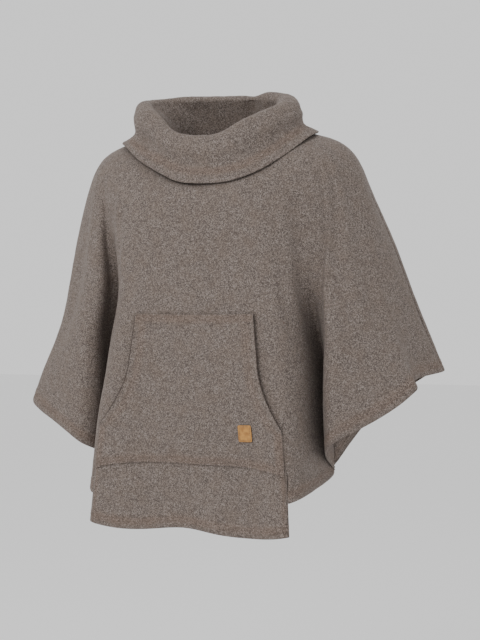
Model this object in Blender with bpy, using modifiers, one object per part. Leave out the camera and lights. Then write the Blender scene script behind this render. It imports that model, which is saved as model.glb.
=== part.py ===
"""A felted wool poncho with a turned-down cowl collar and a kangaroo pocket, as it hangs when worn.

The cloth is described by level sections. Each section is a ring of named points on the right half, which is
the wearer's left and +X, and its mirror image on the left. A smooth spline runs through the rings and down
the sections.
A point of the cloth is found from its girth, measured round the garment from the centre front, and its drop,
measured down from the neckline. Sizes are in millimetres, and the objects are made in metres.
"""
import math
from collections import namedtuple

import bpy
import numpy as np

for old in list(bpy.data.objects):
    bpy.data.objects.remove(old, do_unlink=True)

GARMENT = bpy.data.collections.new("wool_poncho")
bpy.context.scene.collection.children.link(GARMENT)

MM = 0.001
FELT_COLOUR = (0.165, 0.145, 0.135)
FELT_ROUGHNESS = 0.95
LEATHER_COLOUR = (0.42, 0.20, 0.08)
LEATHER_ROUGHNESS = 0.6

# Driving sizes
WALL = 2.4                 # felted wool
SEAM_GAP = 0.3             # between two pieces that are sewn together
ARM_SEAM = 680.0           # girth of the seam along shoulder and arm
HALF_GIRTH = 1312.0        # girth of the centre back
VENT = 165.0               # girth of the slit beside the front tail
VENT_TOP = 587.0           # drop where the slit starts
VENT_LAP = 13.0            # how far the side runs in under the tail
VENT_STEP = 3.6            # how far the side lies behind the tail there

POCKET_TOP = 321.0
POCKET_FOOT = 580.0
POCKET_TOP_HALF = 122.0
POCKET_TOP_SHIFT = 6.0     # the top edge sits this far towards the wearer's left
POCKET_MOUTH_FOOT = 508.0  # drop where the curved mouth meets the straight side
POCKET_SIDE = 160.0
POCKET_GAP = 0.9
POCKET_GAPE = 2.2          # how far the mouth's edge stands off

LABEL_GIRTH = 100.0
LABEL_DROP = 523.5
LABEL_WIDTH = 20.5
LABEL_HEIGHT = 28.5
LABEL_THICK = 1.3
LABEL_GAP = 0.6            # under the flat label, at its corners

# Sections: the level of each ring at the front, over the shoulder and at the back
Level = namedtuple("Level", "drop front_z shoulder_z back_z")
LEVELS = [
    Level(0, -70, 16, 2),
    Level(50, -98, 5, -22),
    Level(105, -142, -17, -72),
    Level(170, -188, -78, -150),
    Level(240, -242, -192, -234),
    Level(290, -290, -272, -288),
    Level(340, -340, -338, -340),
    Level(430, -430, -430, -430),
    Level(520, -520, -520, -520),
    Level(610, -610, -610, -610),
    Level(720, -720, -720, -720),
]

# The front panel: its centre, and the edge where it turns back towards the arm
Panel = namedtuple("Panel", "front_y edge_x edge_y")
PANEL = [
    Panel(-100, 52, -88),
    Panel(-146, 84, -122),
    Panel(-160, 112, -141),
    Panel(-164, 130, -147),
    Panel(-165, 142, -150),
    Panel(-166, 148, -152),
    Panel(-169, 156, -156),
    Panel(-173, 170, -164),
    Panel(-177, 180, -171),
    Panel(-179, 187, -175),
    Panel(-180, 192, -177),
]
LEFT_PANEL = [
    Panel(-100, 52, -88),
    Panel(-146, 84, -122),
    Panel(-160, 112, -141),
    Panel(-164, 129, -147),
    Panel(-165, 137, -150),
    Panel(-166, 139, -152),
    Panel(-169, 145, -156),
    Panel(-173, 159, -164),
    Panel(-177, 171, -171),
    Panel(-179, 180, -175),
    Panel(-180, 188, -177),
]

# The deep fold beside the panel: its floor, and the ridge where the wing begins
Fold = namedtuple("Fold", "floor_x floor_y ridge_x ridge_y")
RIGHT_FOLD = [
    Fold(84, -58, 92, -42),
    Fold(138, -88, 152, -66),
    Fold(184, -102, 206, -76),
    Fold(206, -102, 230, -84),
    Fold(208, -98, 234, -94),
    Fold(200, -86, 232, -102),
    Fold(198, -50, 236, -109),
    Fold(203, -9, 232, -111),
    Fold(208, -3, 233, -112),
    Fold(214, -2, 240, -108),
    Fold(220, -2, 246, -100),
]
LEFT_DRAW = 0.02            # the left wing hangs this much closer
LEFT_FOLD = [
    Fold(84, -58, 92, -42),
    Fold(136, -90, 150, -68),
    Fold(176, -106, 200, -82),
    Fold(190, -104, 216, -90),
    Fold(186, -82, 212, -100),
    Fold(182, -58, 212, -105),
    Fold(196, -34, 223, -108),
    Fold(203, -9, 228, -110),
    Fold(208, -3, 231, -112),
    Fold(214, -2, 238, -108),
    Fold(220, -2, 246, -100),
]

# The wing over the arm: its front corner, the hollow behind it, and the arm seam
Wing = namedtuple("Wing", "corner_x corner_y outer_x outer_y arm_x arm_y")
WING = [
    Wing(100, -14, 101, -2, 101, 12),
    Wing(161, -24, 164, -2, 164, 18),
    Wing(224, -30, 228, -4, 226, 24),
    Wing(262, -36, 268, -6, 260, 30),
    Wing(288, -40, 303, -6, 310, 40),
    Wing(305, -42, 324, -4, 338, 48),
    Wing(325, -43, 340, 0, 361, 58),
    Wing(366, -46, 366, 6, 396, 74),
    Wing(396, -48, 392, 12, 424, 88),
    Wing(420, -48, 416, 16, 448, 100),
    Wing(440, -48, 436, 20, 466, 108),
]

# The back: the wing's ridge, the fold's floor, the edge of the back panel and its centre
Back = namedtuple("Back", "ridge_x ridge_y floor_x floor_y edge_x edge_y back_y")
BACK = [
    Back(86, 44, 72, 58, 48, 70, 78),
    Back(146, 72, 122, 92, 80, 106, 116),
    Back(206, 86, 176, 106, 112, 126, 136),
    Back(238, 98, 202, 112, 134, 138, 146),
    Back(254, 108, 208, 108, 150, 143, 150),
    Back(258, 116, 204, 92, 156, 145, 152),
    Back(258, 124, 198, 56, 159, 146, 153),
    Back(258, 132, 203, 9, 163, 143, 155),
    Back(258, 136, 208, 3, 163, 137, 155),
    Back(262, 138, 214, 2, 160, 131, 154),
    Back(268, 138, 220, 2, 158, 127, 153),
]

# Girth of each named point of a section, from the centre front to the centre back
GIRTHS = {
    "front": 0.0, "quarter": 86.0, "edge": VENT, "side": 240.0, "floor": 318.0, "ridge": 410.0,
    "face": 490.0, "corner": 565.0, "outer": 625.0, "arm": ARM_SEAM, "back_corner": 735.0, "back_face": 810.0,
    "back_ridge": 885.0, "back_floor": 990.0, "back_side": 1065.0, "back_edge": 1140.0,
    "back_quarter": 1225.0, "back": HALF_GIRTH,
}

# Drop of the hem at each named point, on both sides
Hem = namedtuple("Hem", "name right left")
TAIL_HEM = [Hem("front", 692, 692), Hem("quarter", 703, 699), Hem("edge", 696, 691)]
SIDE_HEM = [
    Hem("edge", 640, 640), Hem("side", 624, 626), Hem("floor", 604, 606), Hem("ridge", 552, 562),
    Hem("face", 504, 521), Hem("corner", 450, 487), Hem("outer", 433, 474), Hem("arm", 424, 466),
    Hem("back_corner", 422, 468), Hem("back_face", 448, 486), Hem("back_ridge", 498, 530),
    Hem("back_floor", 592, 598), Hem("back_side", 600, 608), Hem("back_edge", 612, 618),
    Hem("back_quarter", 664, 666), Hem("back", 688, 688),
]

# Soft folds over the sections: centre girth, half width, the drops where each starts and is full, and depth
SoftFold = namedtuple("SoftFold", "girth half_width top full depth")
SOFT_FOLDS = [
    SoftFold(98, 30, 330, 640, -6),
    SoftFold(-22, 40, 420, 690, -5),
    SoftFold(48, 26, 420, 690, 4),
    SoftFold(-110, 34, 470, 690, 4),
    SoftFold(590, 16, 380, 440, -5),
    SoftFold(560, 13, 395, 450, 8),
    SoftFold(-500, 45, 250, 480, 5),
    SoftFold(490, 40, 260, 470, 5),
    SoftFold(-1225, 34, 380, 680, -6),
    SoftFold(1200, 36, 400, 680, -6),
    SoftFold(-820, 38, 300, 500, -6),
    SoftFold(830, 38, 300, 500, -6),
]

# The collar by direction, in degrees from the front towards the wearer's left: the level of its rim, the
# level of its free edge, how far that edge is set back, the radius of the roll along the rim, and the share of
# the fall that drops straight before it flares
Collar = namedtuple("Collar", "direction rim_z edge_z set_back roll belly")
COLLAR = [
    Collar(-180, 88, -3, 0, 11, 0.60),
    Collar(-140, 88, 4, 0, 11, 0.60),
    Collar(-100, 77, 4, 3, 13, 0.75),
    Collar(-70, 67, -6, 12, 16, 0.95),
    Collar(-52, 52, -20, 21, 16, 0.90),
    Collar(-36, 33, -46, 21, 15, 0.75),
    Collar(-22, 9, -67, 17, 13, 0.65),
    Collar(-9, -3, -86, 10, 11, 0.60),
    Collar(5, -7, -92, 6, 11, 0.60),
    Collar(19, -1, -90, 4, 11, 0.60),
    Collar(31, 15, -80, 2, 12, 0.60),
    Collar(44, 30, -62, 0, 13, 0.60),
    Collar(59, 42, -36, 1, 15, 0.65),
    Collar(76, 55, -10, 4, 18, 0.70),
    Collar(100, 70, 7, 4, 22, 0.70),
    Collar(125, 81, 8, 0, 18, 0.65),
    Collar(155, 87, 2, 0, 12, 0.60),
]
SIDE_STEP = 0.4            # the edge moves this much sideways for what it is set back
RIM_HALF_WIDTH = 155.0
RIM_HALF_DEPTH = 106.0
RIM_MIDDLE_Y = -38.0
EDGE_HALF_WIDTH = 188.0
EDGE_HALF_DEPTH = 129.0
EDGE_MIDDLE_Y = -28.0


def spline_operator(knots):
    """Matrix that turns the values at the knots into the second derivatives of a natural cubic spline."""
    count = len(knots)
    step = np.diff(knots)
    left = np.eye(count)
    right = np.zeros((count, count))
    for i in range(1, count - 1):
        left[i, i - 1:i + 2] = step[i - 1], 2 * (step[i - 1] + step[i]), step[i]
        right[i, i - 1:i + 2] = 6 / step[i - 1], -6 / step[i - 1] - 6 / step[i], 6 / step[i]
    return np.linalg.solve(left, right)


def spline(knots, values, second, where):
    """Spline through values (..., knots, columns) at where: one place for each leading row, or all places."""
    where = np.clip(np.asarray(where, float), knots[0], knots[-1])
    span = np.clip(np.searchsorted(knots, where) - 1, 0, len(knots) - 2)
    width = (knots[span + 1] - knots[span])[:, None]
    high = (where - knots[span])[:, None] / width
    low = 1 - high
    if values.ndim == 3:
        rows = np.arange(len(where))
        a, b, sa, sb = values[rows, span], values[rows, span + 1], second[rows, span], second[rows, span + 1]
    else:
        a, b, sa, sb = values[span], values[span + 1], second[span], second[span + 1]
    return low * a + high * b + ((low ** 3 - low) * sa + (high ** 3 - high) * sb) * width ** 2 / 6


def smooth_step(x):
    x = np.clip(x, 0.0, 1.0)
    return x * x * (3 - 2 * x)


# Places of the points between the table's points, as shares of the way between them
QUARTER_ACROSS = 0.52      # across a panel, half way to its edge
QUARTER_BACK = 0.22
SIDE_ACROSS = 0.50         # between a panel's edge and the floor of the fold
SIDE_ACROSS_DEEP = 0.32    # this much further across where the fold is deep
BACK_ACROSS_DEEP = -0.12   # the same behind the fold
SIDE_BACK = 0.48
FACE_FORWARD = 6.0         # the wing's face stands forward of a straight line
FACE_FORWARD_DEEP = 6.0
ARM_INWARD = (0.10, 0.36)  # the wing's corner and face behind the arm seam, across and back
ARM_INWARD_HUNG = (0.0, 0.14)
ARM_INWARD_DEEP = 4.0
ARM_BACK = (0.33, 0.68)
ARM_BACK_HUNG = (0.22, 0.34)
FOLDS_START = 240.0        # drop where the side folds start, and how far on they are fully deep
FOLDS_DEEPEN = 190.0
HUNG_AT = 170.0            # drop where the back has come off the shoulder
LEVEL_POWER = 1.6          # how a section's level goes over from the shoulder to the front and back


def section(i, panels, folds):
    """The named points of section i on the right half, front to back, from the tables."""
    level, panel, fold, wing, back = LEVELS[i], panels[i], folds[i], WING[i], BACK[i]
    deep = min(1.0, max(0.0, (level.drop - FOLDS_START) / FOLDS_DEEPEN))
    across = SIDE_ACROSS + SIDE_ACROSS_DEEP * deep
    back_across = SIDE_ACROSS + BACK_ACROSS_DEEP * deep
    hung = float(smooth_step(level.drop / HUNG_AT))
    behind_x = wing.arm_x - back.ridge_x
    behind_y = back.ridge_y - wing.arm_y
    inward = [share + more * hung for share, more in zip(ARM_INWARD, ARM_INWARD_HUNG)]
    backward = [share + more * hung for share, more in zip(ARM_BACK, ARM_BACK_HUNG)]
    plan = [
        (0, panel.front_y),
        (QUARTER_ACROSS * panel.edge_x, panel.front_y + QUARTER_BACK * (panel.edge_y - panel.front_y)),
        (panel.edge_x, panel.edge_y),
        (panel.edge_x + across * (fold.floor_x - panel.edge_x),
         panel.edge_y + SIDE_BACK * (fold.floor_y - panel.edge_y)),
        (fold.floor_x, fold.floor_y),
        (fold.ridge_x, fold.ridge_y),
        ((fold.ridge_x + wing.corner_x) / 2,
         (fold.ridge_y + wing.corner_y) / 2 - FACE_FORWARD - FACE_FORWARD_DEEP * deep),
        (wing.corner_x, wing.corner_y),
        (wing.outer_x, wing.outer_y),
        (wing.arm_x, wing.arm_y),
        (wing.arm_x - inward[0] * behind_x - ARM_INWARD_DEEP * deep, wing.arm_y + backward[0] * behind_y),
        (wing.arm_x - inward[1] * behind_x, wing.arm_y + backward[1] * behind_y),
        (back.ridge_x, back.ridge_y),
        (back.floor_x, back.floor_y),
        (back.edge_x + back_across * (back.floor_x - back.edge_x),
         back.edge_y + SIDE_BACK * (back.floor_y - back.edge_y)),
        (back.edge_x, back.edge_y),
        (QUARTER_ACROSS * back.edge_x, back.back_y + QUARTER_BACK * (back.edge_y - back.back_y)),
        (0, back.back_y),
    ]
    points = []
    for x, y in plan:
        facing = -y / math.hypot(x, y)      # 1 to the front, 0 over the shoulder, -1 to the back
        end_z = level.front_z if facing >= 0 else level.back_z
        points.append((x, y, level.shoulder_z + abs(facing) ** LEVEL_POWER * (end_z - level.shoulder_z)))
    return np.array(points)


WING_POINTS = slice(5, 11)  # from the face to the back's face, without the centre front
LEFT_DRAWN_OVER = 100.0     # the left wing is drawn in over this much drop
RING_OVERLAP = 5            # points repeated at both ends of a closed ring


def closed_rings():
    """All sections as closed rings, repeated past the centre back so that the spline is smooth there."""
    rings = []
    for i in range(len(LEVELS)):
        right = section(i, PANEL, RIGHT_FOLD)
        left = section(i, LEFT_PANEL, LEFT_FOLD)[1:-1] * (-1, 1, 1)
        drawn = LEFT_DRAW * smooth_step((LEVELS[i].drop - FOLDS_START) / LEFT_DRAWN_OVER)
        left[WING_POINTS, 0] *= 1 - drawn
        left = left[::-1]
        rings.append(np.concatenate([left, right]))
    rings = np.array(rings)
    girths = np.array(list(GIRTHS.values()))
    knots = np.concatenate([-girths[1:-1][::-1], girths])
    pad = RING_OVERLAP
    knots = np.concatenate([knots[-pad:] - 2 * HALF_GIRTH, knots, knots[:pad] + 2 * HALF_GIRTH])
    return knots, np.concatenate([rings[:, -pad:], rings, rings[:, :pad]], axis=1)


DROPS = np.array([level.drop for level in LEVELS], float)
KNOTS, RINGS = closed_rings()
FLAT_RINGS = RINGS.reshape(len(DROPS), -1)
FLAT_SECOND = spline_operator(DROPS) @ FLAT_RINGS
ROUND_OPERATOR = spline_operator(KNOTS)


def section_surface(girth, drop):
    """Points of the smooth surface through the sections."""
    ring = spline(DROPS, FLAT_RINGS, FLAT_SECOND, drop).reshape(len(drop), len(KNOTS), 3)
    second = np.einsum("ij,njk->nik", ROUND_OPERATOR, ring)
    return spline(KNOTS, ring, second, girth)


SEAM_REACH = 60.0          # girth on both sides of a fold's floor where the two layers lie together
PROBE = 2.0                # step along the cloth for finding its normal


def soft_fold_height(girth, drop):
    height = np.zeros(len(girth))
    for fold in SOFT_FOLDS:
        across = np.exp(-((girth - fold.girth) / fold.half_width) ** 2)
        height += fold.depth * across * smooth_step((drop - fold.top) / (fold.full - fold.top))
    return height


def apart_at_side_seam(points, girth, out):
    """Keep the two layers a seam gap apart in the floor of the side fold, where they are sewn together."""
    limit = WALL + SEAM_GAP / 2 + out
    in_front = np.abs(np.abs(girth) - GIRTHS["floor"]) < SEAM_REACH
    in_back = np.abs(np.abs(girth) - GIRTHS["back_floor"]) < SEAM_REACH
    points[:, 1] = np.where(in_front, np.minimum(points[:, 1], -limit), points[:, 1])
    points[:, 1] = np.where(in_back, np.maximum(points[:, 1], limit), points[:, 1])
    return points


def cloth(girth, drop, out=0.0):
    """Points of the cloth's outer face at these girths and drops, moved out along the cloth's normal."""
    girth = np.asarray(girth, float)
    drop = np.asarray(drop, float)
    across = section_surface(girth + PROBE, drop) - section_surface(girth - PROBE, drop)
    down = section_surface(girth, drop + PROBE) - section_surface(girth, np.maximum(drop - PROBE, 0))
    normal = np.cross(down, across)
    normal /= np.linalg.norm(normal, axis=1)[:, None]
    height = soft_fold_height(girth, drop) + out
    points = section_surface(girth, drop) + normal * height[:, None]
    return apart_at_side_seam(points, girth, out)


def hem_drop(girth, table):
    """Drop of the hem at these girths, on a smooth line through a hem table."""
    mirrored = [hem for hem in table[::-1] if hem.name != "front"]
    knots = np.array([-GIRTHS[hem.name] for hem in mirrored] + [GIRTHS[hem.name] for hem in table])
    drops = np.array([hem.left for hem in mirrored] + [hem.right for hem in table], float)[:, None]
    if table[0].name == "front":
        return spline(knots, drops, spline_operator(knots) @ drops, girth)[:, 0]
    half = len(table)
    sides = []
    for chosen in (slice(0, half), slice(half, None)):
        x, y = knots[chosen], drops[chosen]
        sides.append(spline(x, y, spline_operator(x) @ y, girth)[:, 0])
    return np.where(np.asarray(girth) < 0, sides[0], sides[1])


def columns(spans):
    """Girths from the first to the last named point, with each span cut into a number of steps."""
    found = [GIRTHS[spans[0][0]]]
    for start, end, steps in spans:
        found += list(np.linspace(GIRTHS[start], GIRTHS[end], steps + 1)[1:])
    return np.array(found)


def sheet(name, points, faces, material, wall):
    """An open surface with its faces pointing out, made a wall by Solidify on its inner side."""
    mesh = bpy.data.meshes.new(name)
    mesh.from_pydata([tuple(p * MM) for p in points], [], faces)
    mesh.validate()
    mesh.materials.append(material)
    mesh.shade_smooth()
    made = bpy.data.objects.new(name, mesh)
    solidify = made.modifiers.new("wall", "SOLIDIFY")
    solidify.thickness = wall * MM
    solidify.offset = -1
    solidify.use_quality_normals = True
    GARMENT.objects.link(made)
    return made


def grid_faces(numbers):
    """Quads between the neighbouring columns and rows of a table of point numbers."""
    faces = []
    for left, right in zip(numbers[:-1], numbers[1:]):
        for i in range(len(left) - 1):
            faces.append((left[i], left[i + 1], right[i + 1], right[i]))
    return faces


def plain_material(name, colour, roughness):
    material = bpy.data.materials.new(name)
    material.use_nodes = True
    shader = material.node_tree.nodes["Principled BSDF"]
    shader.inputs["Base Color"].default_value = (*colour, 1)
    shader.inputs["Roughness"].default_value = roughness
    return material


def felt(name):
    return plain_material(name, FELT_COLOUR, FELT_ROUGHNESS)


# Steps across each span of the cloth. The floor of a side fold, where front and back are sewn together, parts
# the front and the back from the wings.
FRONT_SPANS = [("front", "quarter", 4), ("quarter", "edge", 4), ("edge", "side", 3), ("side", "floor", 4)]
WING_FRONT_SPANS = [
    ("floor", "ridge", 4), ("ridge", "face", 3), ("face", "corner", 3), ("corner", "outer", 3),
    ("outer", "arm", 2),
]
WING_BACK_SPANS = [
    ("arm", "back_corner", 2), ("back_corner", "back_face", 2), ("back_face", "back_ridge", 3),
    ("back_ridge", "back_floor", 4),
]
BACK_SPANS = [
    ("back_floor", "back_side", 3), ("back_side", "back_edge", 3), ("back_edge", "back_quarter", 3),
    ("back_quarter", "back", 3),
]
ROWS_ABOVE = 16            # rows from the neckline to the level of the slit's top
ROWS_BELOW = 3             # rows from there to the hem
ROWS_EVEN = 0.72           # share of the even spacing; the rest is closer together near the neckline
FLOOR_GAP = 1.0            # between two parts in a fold's floor, where the curved wall is closer inside
SEAM_STRIP = 2.5           # narrow last column, so that the wall's edge is square to the seam
SLIT_OPEN = 1.5


def rows_down(line, hem):
    """Drops of a column's rows: closer together near the neckline, then even steps to the hem."""
    above = [line * part * (ROWS_EVEN + (1 - ROWS_EVEN) * part) for part in np.linspace(0, 1, ROWS_ABOVE + 1)]
    return above + list(np.linspace(line, hem, ROWS_BELOW + 1)[1:])


def vent_line(girth):
    """Level of the row that meets the slit's top: a constant share of the side's hem."""
    share = VENT_TOP / SIDE_HEM[0].right
    if abs(girth) <= VENT:
        return VENT_TOP
    return share * float(hem_drop([girth], SIDE_HEM)[0])


def at_seam(name, side):
    """Two girths beside a seam, on its side 1 or -1: the edge of the cloth and the end of the narrow column."""
    gap = SEAM_GAP if name == "arm" else FLOOR_GAP
    return [GIRTHS[name] + side * gap / 2, GIRTHS[name] + side * SEAM_STRIP]


def make_front():
    half = list(columns(FRONT_SPANS)[:-1]) + at_seam("floor", -1)[::-1]
    girths = [-girth for girth in half[:0:-1]] + half
    places = []                # girth, drop and height of every point
    tail, side = {}, {}        # point numbers of each column, below the slit's top on its two banks
    for column, girth in enumerate(girths):
        at_vent = math.isclose(abs(girth), VENT)
        in_tail = abs(girth) <= VENT or at_vent
        hem = float(hem_drop([girth], TAIL_HEM if in_tail else SIDE_HEM)[0])
        first = len(places)
        places += [(girth, drop, 0.0) for drop in rows_down(vent_line(girth), hem)]
        numbers = list(range(first, len(places)))
        (tail if in_tail else side)[column] = numbers
        if at_vent:
            sign = math.copysign(1, girth)
            hem = float(hem_drop([girth], SIDE_HEM)[0])
            low = rows_down(VENT_TOP, hem)[ROWS_ABOVE + 1:]
            laps = [-SLIT_OPEN] + list(np.linspace(0, VENT_LAP, ROWS_BELOW)[1:])
            first = len(places)
            places += [(girth - sign * lap, drop, -VENT_STEP) for lap, drop in zip(laps, low)]
            side[column] = numbers[:ROWS_ABOVE + 1] + list(range(first, len(places)))
    faces = []
    for banks in (tail, side):
        for column in range(len(girths) - 1):
            if column in banks and column + 1 in banks:
                faces += grid_faces([banks[column], banks[column + 1]])
    girth, drop, height = (np.array(values, float) for values in zip(*places))
    return sheet("front", cloth(girth, drop, height), faces, felt("front_felt"), WALL)


def strip(name, girths):
    """A plain strip of the cloth between its first and last girth, from the neckline to the side's hem."""
    places = []
    numbers = []
    for girth in girths:
        hem = float(hem_drop([girth], SIDE_HEM)[0])
        drops = rows_down(vent_line(girth), hem)
        numbers.append(list(range(len(places), len(places) + len(drops))))
        places += [(girth, drop) for drop in drops]
    girth, drop = (np.array(values, float) for values in zip(*places))
    return sheet(name, cloth(girth, drop), grid_faces(numbers), felt(name + "_felt"), WALL)


def make_wings():
    """The cloth over each arm, in front of the arm seam and behind it."""
    for name, spans in (("wing_front", WING_FRONT_SPANS), ("wing_back", WING_BACK_SPANS)):
        half = at_seam(spans[0][0], 1) + list(columns(spans)[1:-1]) + at_seam(spans[-1][1], -1)[::-1]
        strip("left_" + name, half)
        strip("right_" + name, [-girth for girth in half[::-1]])


def make_back():
    half = at_seam("back_floor", 1) + list(columns(BACK_SPANS)[1:])
    strip("back", half + [-girth for girth in half[-2::-1]])


STAND_STEPS = 4
ROLL_STEPS = 4
FALL_STEPS = 5
COLLAR_SEAM = 118.0        # direction of the two seams between the collar's front and its back
COLLAR_GAP = 0.2           # degrees from a seam's middle to the cloth's edge
COLLAR_FRONT_COLUMNS = 29
COLLAR_BACK_COLUMNS = 15
STAND_LIFT = 1.0           # the stand starts this far over the neckline's edge
STAND_BELLY = np.array([0.38, 0.38, 0.60])      # its curve's middle point, as shares of its way across and up
NECKLINE_STEPS = 721


def around(direction, column):
    """A value of the collar's table at a direction, on a smooth closed line."""
    turns = [-360, 0, 360]
    x = np.array([row.direction + turn for turn in turns for row in COLLAR], float)
    y = np.array([getattr(row, column) for turn in turns for row in COLLAR], float)[:, None]
    return float(spline(x, y, spline_operator(x) @ y, [direction])[0, 0])


def bezier(start, middle, end, steps):
    parts = np.linspace(0, 1, steps + 1)[:, None]
    return (1 - parts) ** 2 * start + 2 * parts * (1 - parts) * middle + parts ** 2 * end


def neckline(directions):
    """Points of the neckline in these directions, seen from the middle of the neck opening."""
    girths = np.linspace(-HALF_GIRTH, HALF_GIRTH, NECKLINE_STEPS)
    ring = cloth(girths, np.zeros(len(girths)))
    middle_y = RIM_MIDDLE_Y / 2
    seen = np.degrees(np.arctan2(ring[:, 0], middle_y - ring[:, 1]))
    seen[0], seen[-1] = -180, 180
    order = np.argsort(seen)
    return np.stack([np.interp(directions, seen[order], ring[order, axis]) for axis in range(3)], axis=1)


def collar_section(direction, base):
    """Points across the collar: up the stand, over the rim and down the fall, on the cloth's visible face."""
    angle = math.radians(direction)
    out = np.array([math.sin(angle), -math.cos(angle), 0])
    up = np.array([0, 0, 1.0])
    rim_z, edge_z, roll = around(direction, "rim_z"), around(direction, "edge_z"), around(direction, "roll")
    centre = np.array([(RIM_HALF_WIDTH - roll) * out[0],
                       RIM_MIDDLE_Y + (RIM_HALF_DEPTH - roll) * out[1], rim_z - roll])
    set_back = around(direction, "set_back")
    edge = np.array([EDGE_HALF_WIDTH * out[0] - SIDE_STEP * set_back,
                     EDGE_MIDDLE_Y + EDGE_HALF_DEPTH * out[1] + set_back, edge_z])
    start = base - out * (WALL + SEAM_GAP) + up * STAND_LIFT
    inner = centre - out * roll
    outer = centre + out * roll
    stand = bezier(start, start + (inner - start) * STAND_BELLY, inner, STAND_STEPS)
    turns = np.linspace(math.pi, 0, ROLL_STEPS + 1)
    rim = [centre + roll * (math.cos(turn) * out + math.sin(turn) * up) for turn in turns]
    fall = bezier(outer, outer - up * around(direction, "belly") * (outer[2] - edge[2]), edge, FALL_STEPS)
    return list(stand[:-1]) + rim + list(fall[1:])


def make_collar(name, start, end, columns_across):
    """The collar between two directions."""
    directions = np.linspace(start + COLLAR_GAP, end - COLLAR_GAP, columns_across + 1)
    bases = neckline((directions + 180) % 360 - 180)
    points = []
    numbers = []
    for direction, base in zip(directions, bases):
        across = collar_section(direction, base)
        numbers.append(list(range(len(points), len(points) + len(across))))
        points += across
    return sheet(name, np.array(points), grid_faces(numbers), felt(name + "_felt"), WALL)


POCKET_COLUMNS = 20
POCKET_ROWS = 11
POCKET_SAG = 16.0          # how much lower the pocket's lower corners lie
MOUTH_BEND = 405.0         # drop where the mouth starts to curve out
MOUTH_POWER = 2.0
GAPE_POWER = 6             # how close to the mouth's edge the pocket starts to stand off


def pocket_girth(part, drop):
    """Girth of a part of the half width of the pocket: straight on top, curved along the mouth, then the side."""
    curve = np.clip((drop - MOUTH_BEND) / (POCKET_MOUTH_FOOT - MOUTH_BEND), 0, 1) ** MOUTH_POWER
    half = POCKET_TOP_HALF + (POCKET_SIDE - POCKET_TOP_HALF) * curve
    return part * half + POCKET_TOP_SHIFT * (1 - curve)


def make_pocket():
    places = []
    numbers = []
    for part in np.sin(np.linspace(-math.pi / 2, math.pi / 2, POCKET_COLUMNS + 1)):
        first = len(places)
        for drop in np.linspace(POCKET_TOP, POCKET_FOOT, POCKET_ROWS + 1):
            down = (drop - POCKET_TOP) / (POCKET_FOOT - POCKET_TOP)
            along_mouth = min(1.0, (drop - POCKET_TOP) / (POCKET_MOUTH_FOOT - POCKET_TOP))
            gape = POCKET_GAPE * abs(part) ** GAPE_POWER * math.sin(math.pi * along_mouth)
            sag = POCKET_SAG * part ** 4 * down ** 2
            places.append((pocket_girth(part, drop), drop + sag, POCKET_GAP + WALL + gape))
        numbers.append(list(range(first, len(places))))
    girth, drop, height = (np.array(values, float) for values in zip(*places))
    return sheet("pocket", cloth(girth, drop, height), grid_faces(numbers), felt("pocket_felt"), WALL)


LABEL_TILT = math.radians(2)
LABEL_STEPS = 3


def make_label():
    """A bare leather patch, sewn flat to the pocket between its four corners."""
    corners = []
    for across, down in ((-1, -1), (-1, 1), (1, 1), (1, -1)):
        x, y = across * LABEL_WIDTH / 2, down * LABEL_HEIGHT / 2
        corners.append((LABEL_GIRTH + x * math.cos(LABEL_TILT) + y * math.sin(LABEL_TILT),
                        LABEL_DROP + y * math.cos(LABEL_TILT) - x * math.sin(LABEL_TILT)))
    girth, drop = zip(*corners)
    height = POCKET_GAP + WALL + LABEL_GAP + LABEL_THICK
    top_left, foot_left, foot_right, top_right = cloth(girth, drop, height)
    points = []
    numbers = []
    for across in np.linspace(0, 1, LABEL_STEPS + 1):
        first = len(points)
        for down in np.linspace(0, 1, LABEL_STEPS + 1):
            left = top_left + down * (foot_left - top_left)
            right = top_right + down * (foot_right - top_right)
            points.append(left + across * (right - left))
        numbers.append(list(range(first, len(points))))
    leather = plain_material("label_leather", LEATHER_COLOUR, LEATHER_ROUGHNESS)
    return sheet("label", np.array(points), grid_faces(numbers), leather, LABEL_THICK)


make_front()
make_wings()
make_back()
make_collar("collar_front", -COLLAR_SEAM, COLLAR_SEAM, COLLAR_FRONT_COLUMNS)
make_collar("collar_back", COLLAR_SEAM, 360 - COLLAR_SEAM, COLLAR_BACK_COLUMNS)
make_pocket()
make_label()
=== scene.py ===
import math
from collections import namedtuple

import bpy
import numpy as np
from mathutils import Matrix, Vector


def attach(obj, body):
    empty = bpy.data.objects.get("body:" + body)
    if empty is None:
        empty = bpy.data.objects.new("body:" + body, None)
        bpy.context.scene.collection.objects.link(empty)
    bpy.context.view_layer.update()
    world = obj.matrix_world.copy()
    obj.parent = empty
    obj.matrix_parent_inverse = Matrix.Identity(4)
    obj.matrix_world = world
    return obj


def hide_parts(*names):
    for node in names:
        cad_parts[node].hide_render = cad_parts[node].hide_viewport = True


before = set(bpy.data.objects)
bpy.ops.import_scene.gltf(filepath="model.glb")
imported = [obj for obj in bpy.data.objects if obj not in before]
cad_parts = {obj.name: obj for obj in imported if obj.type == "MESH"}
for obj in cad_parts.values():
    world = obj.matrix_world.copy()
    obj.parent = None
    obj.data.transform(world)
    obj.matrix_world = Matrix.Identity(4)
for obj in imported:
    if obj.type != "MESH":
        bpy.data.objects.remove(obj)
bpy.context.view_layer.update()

# The front: felted wool, cut in one piece with a straight tail and a wing over each arm. It is sewn to the
# back along the shoulders and arms and in the floor of each side fold. Its hem is turned and sewn twice.
# Sizes of the cloth are in millimetres, and become metres where a mesh is made.
MM = 0.001
WALL = 2.4
SEAM_GAP = 0.3
ARM_SEAM = 680.0  # girth of the seam along shoulder and arm
HALF_GIRTH = 1312.0  # girth of the centre back
VENT = 165.0  # girth of the slit beside the tail
VENT_TOP = 587.0  # drop where the slit starts
VENT_LAP = 13.0  # how far the side runs in under the tail
VENT_STEP = 3.6  # how far the side lies behind the tail there

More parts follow.
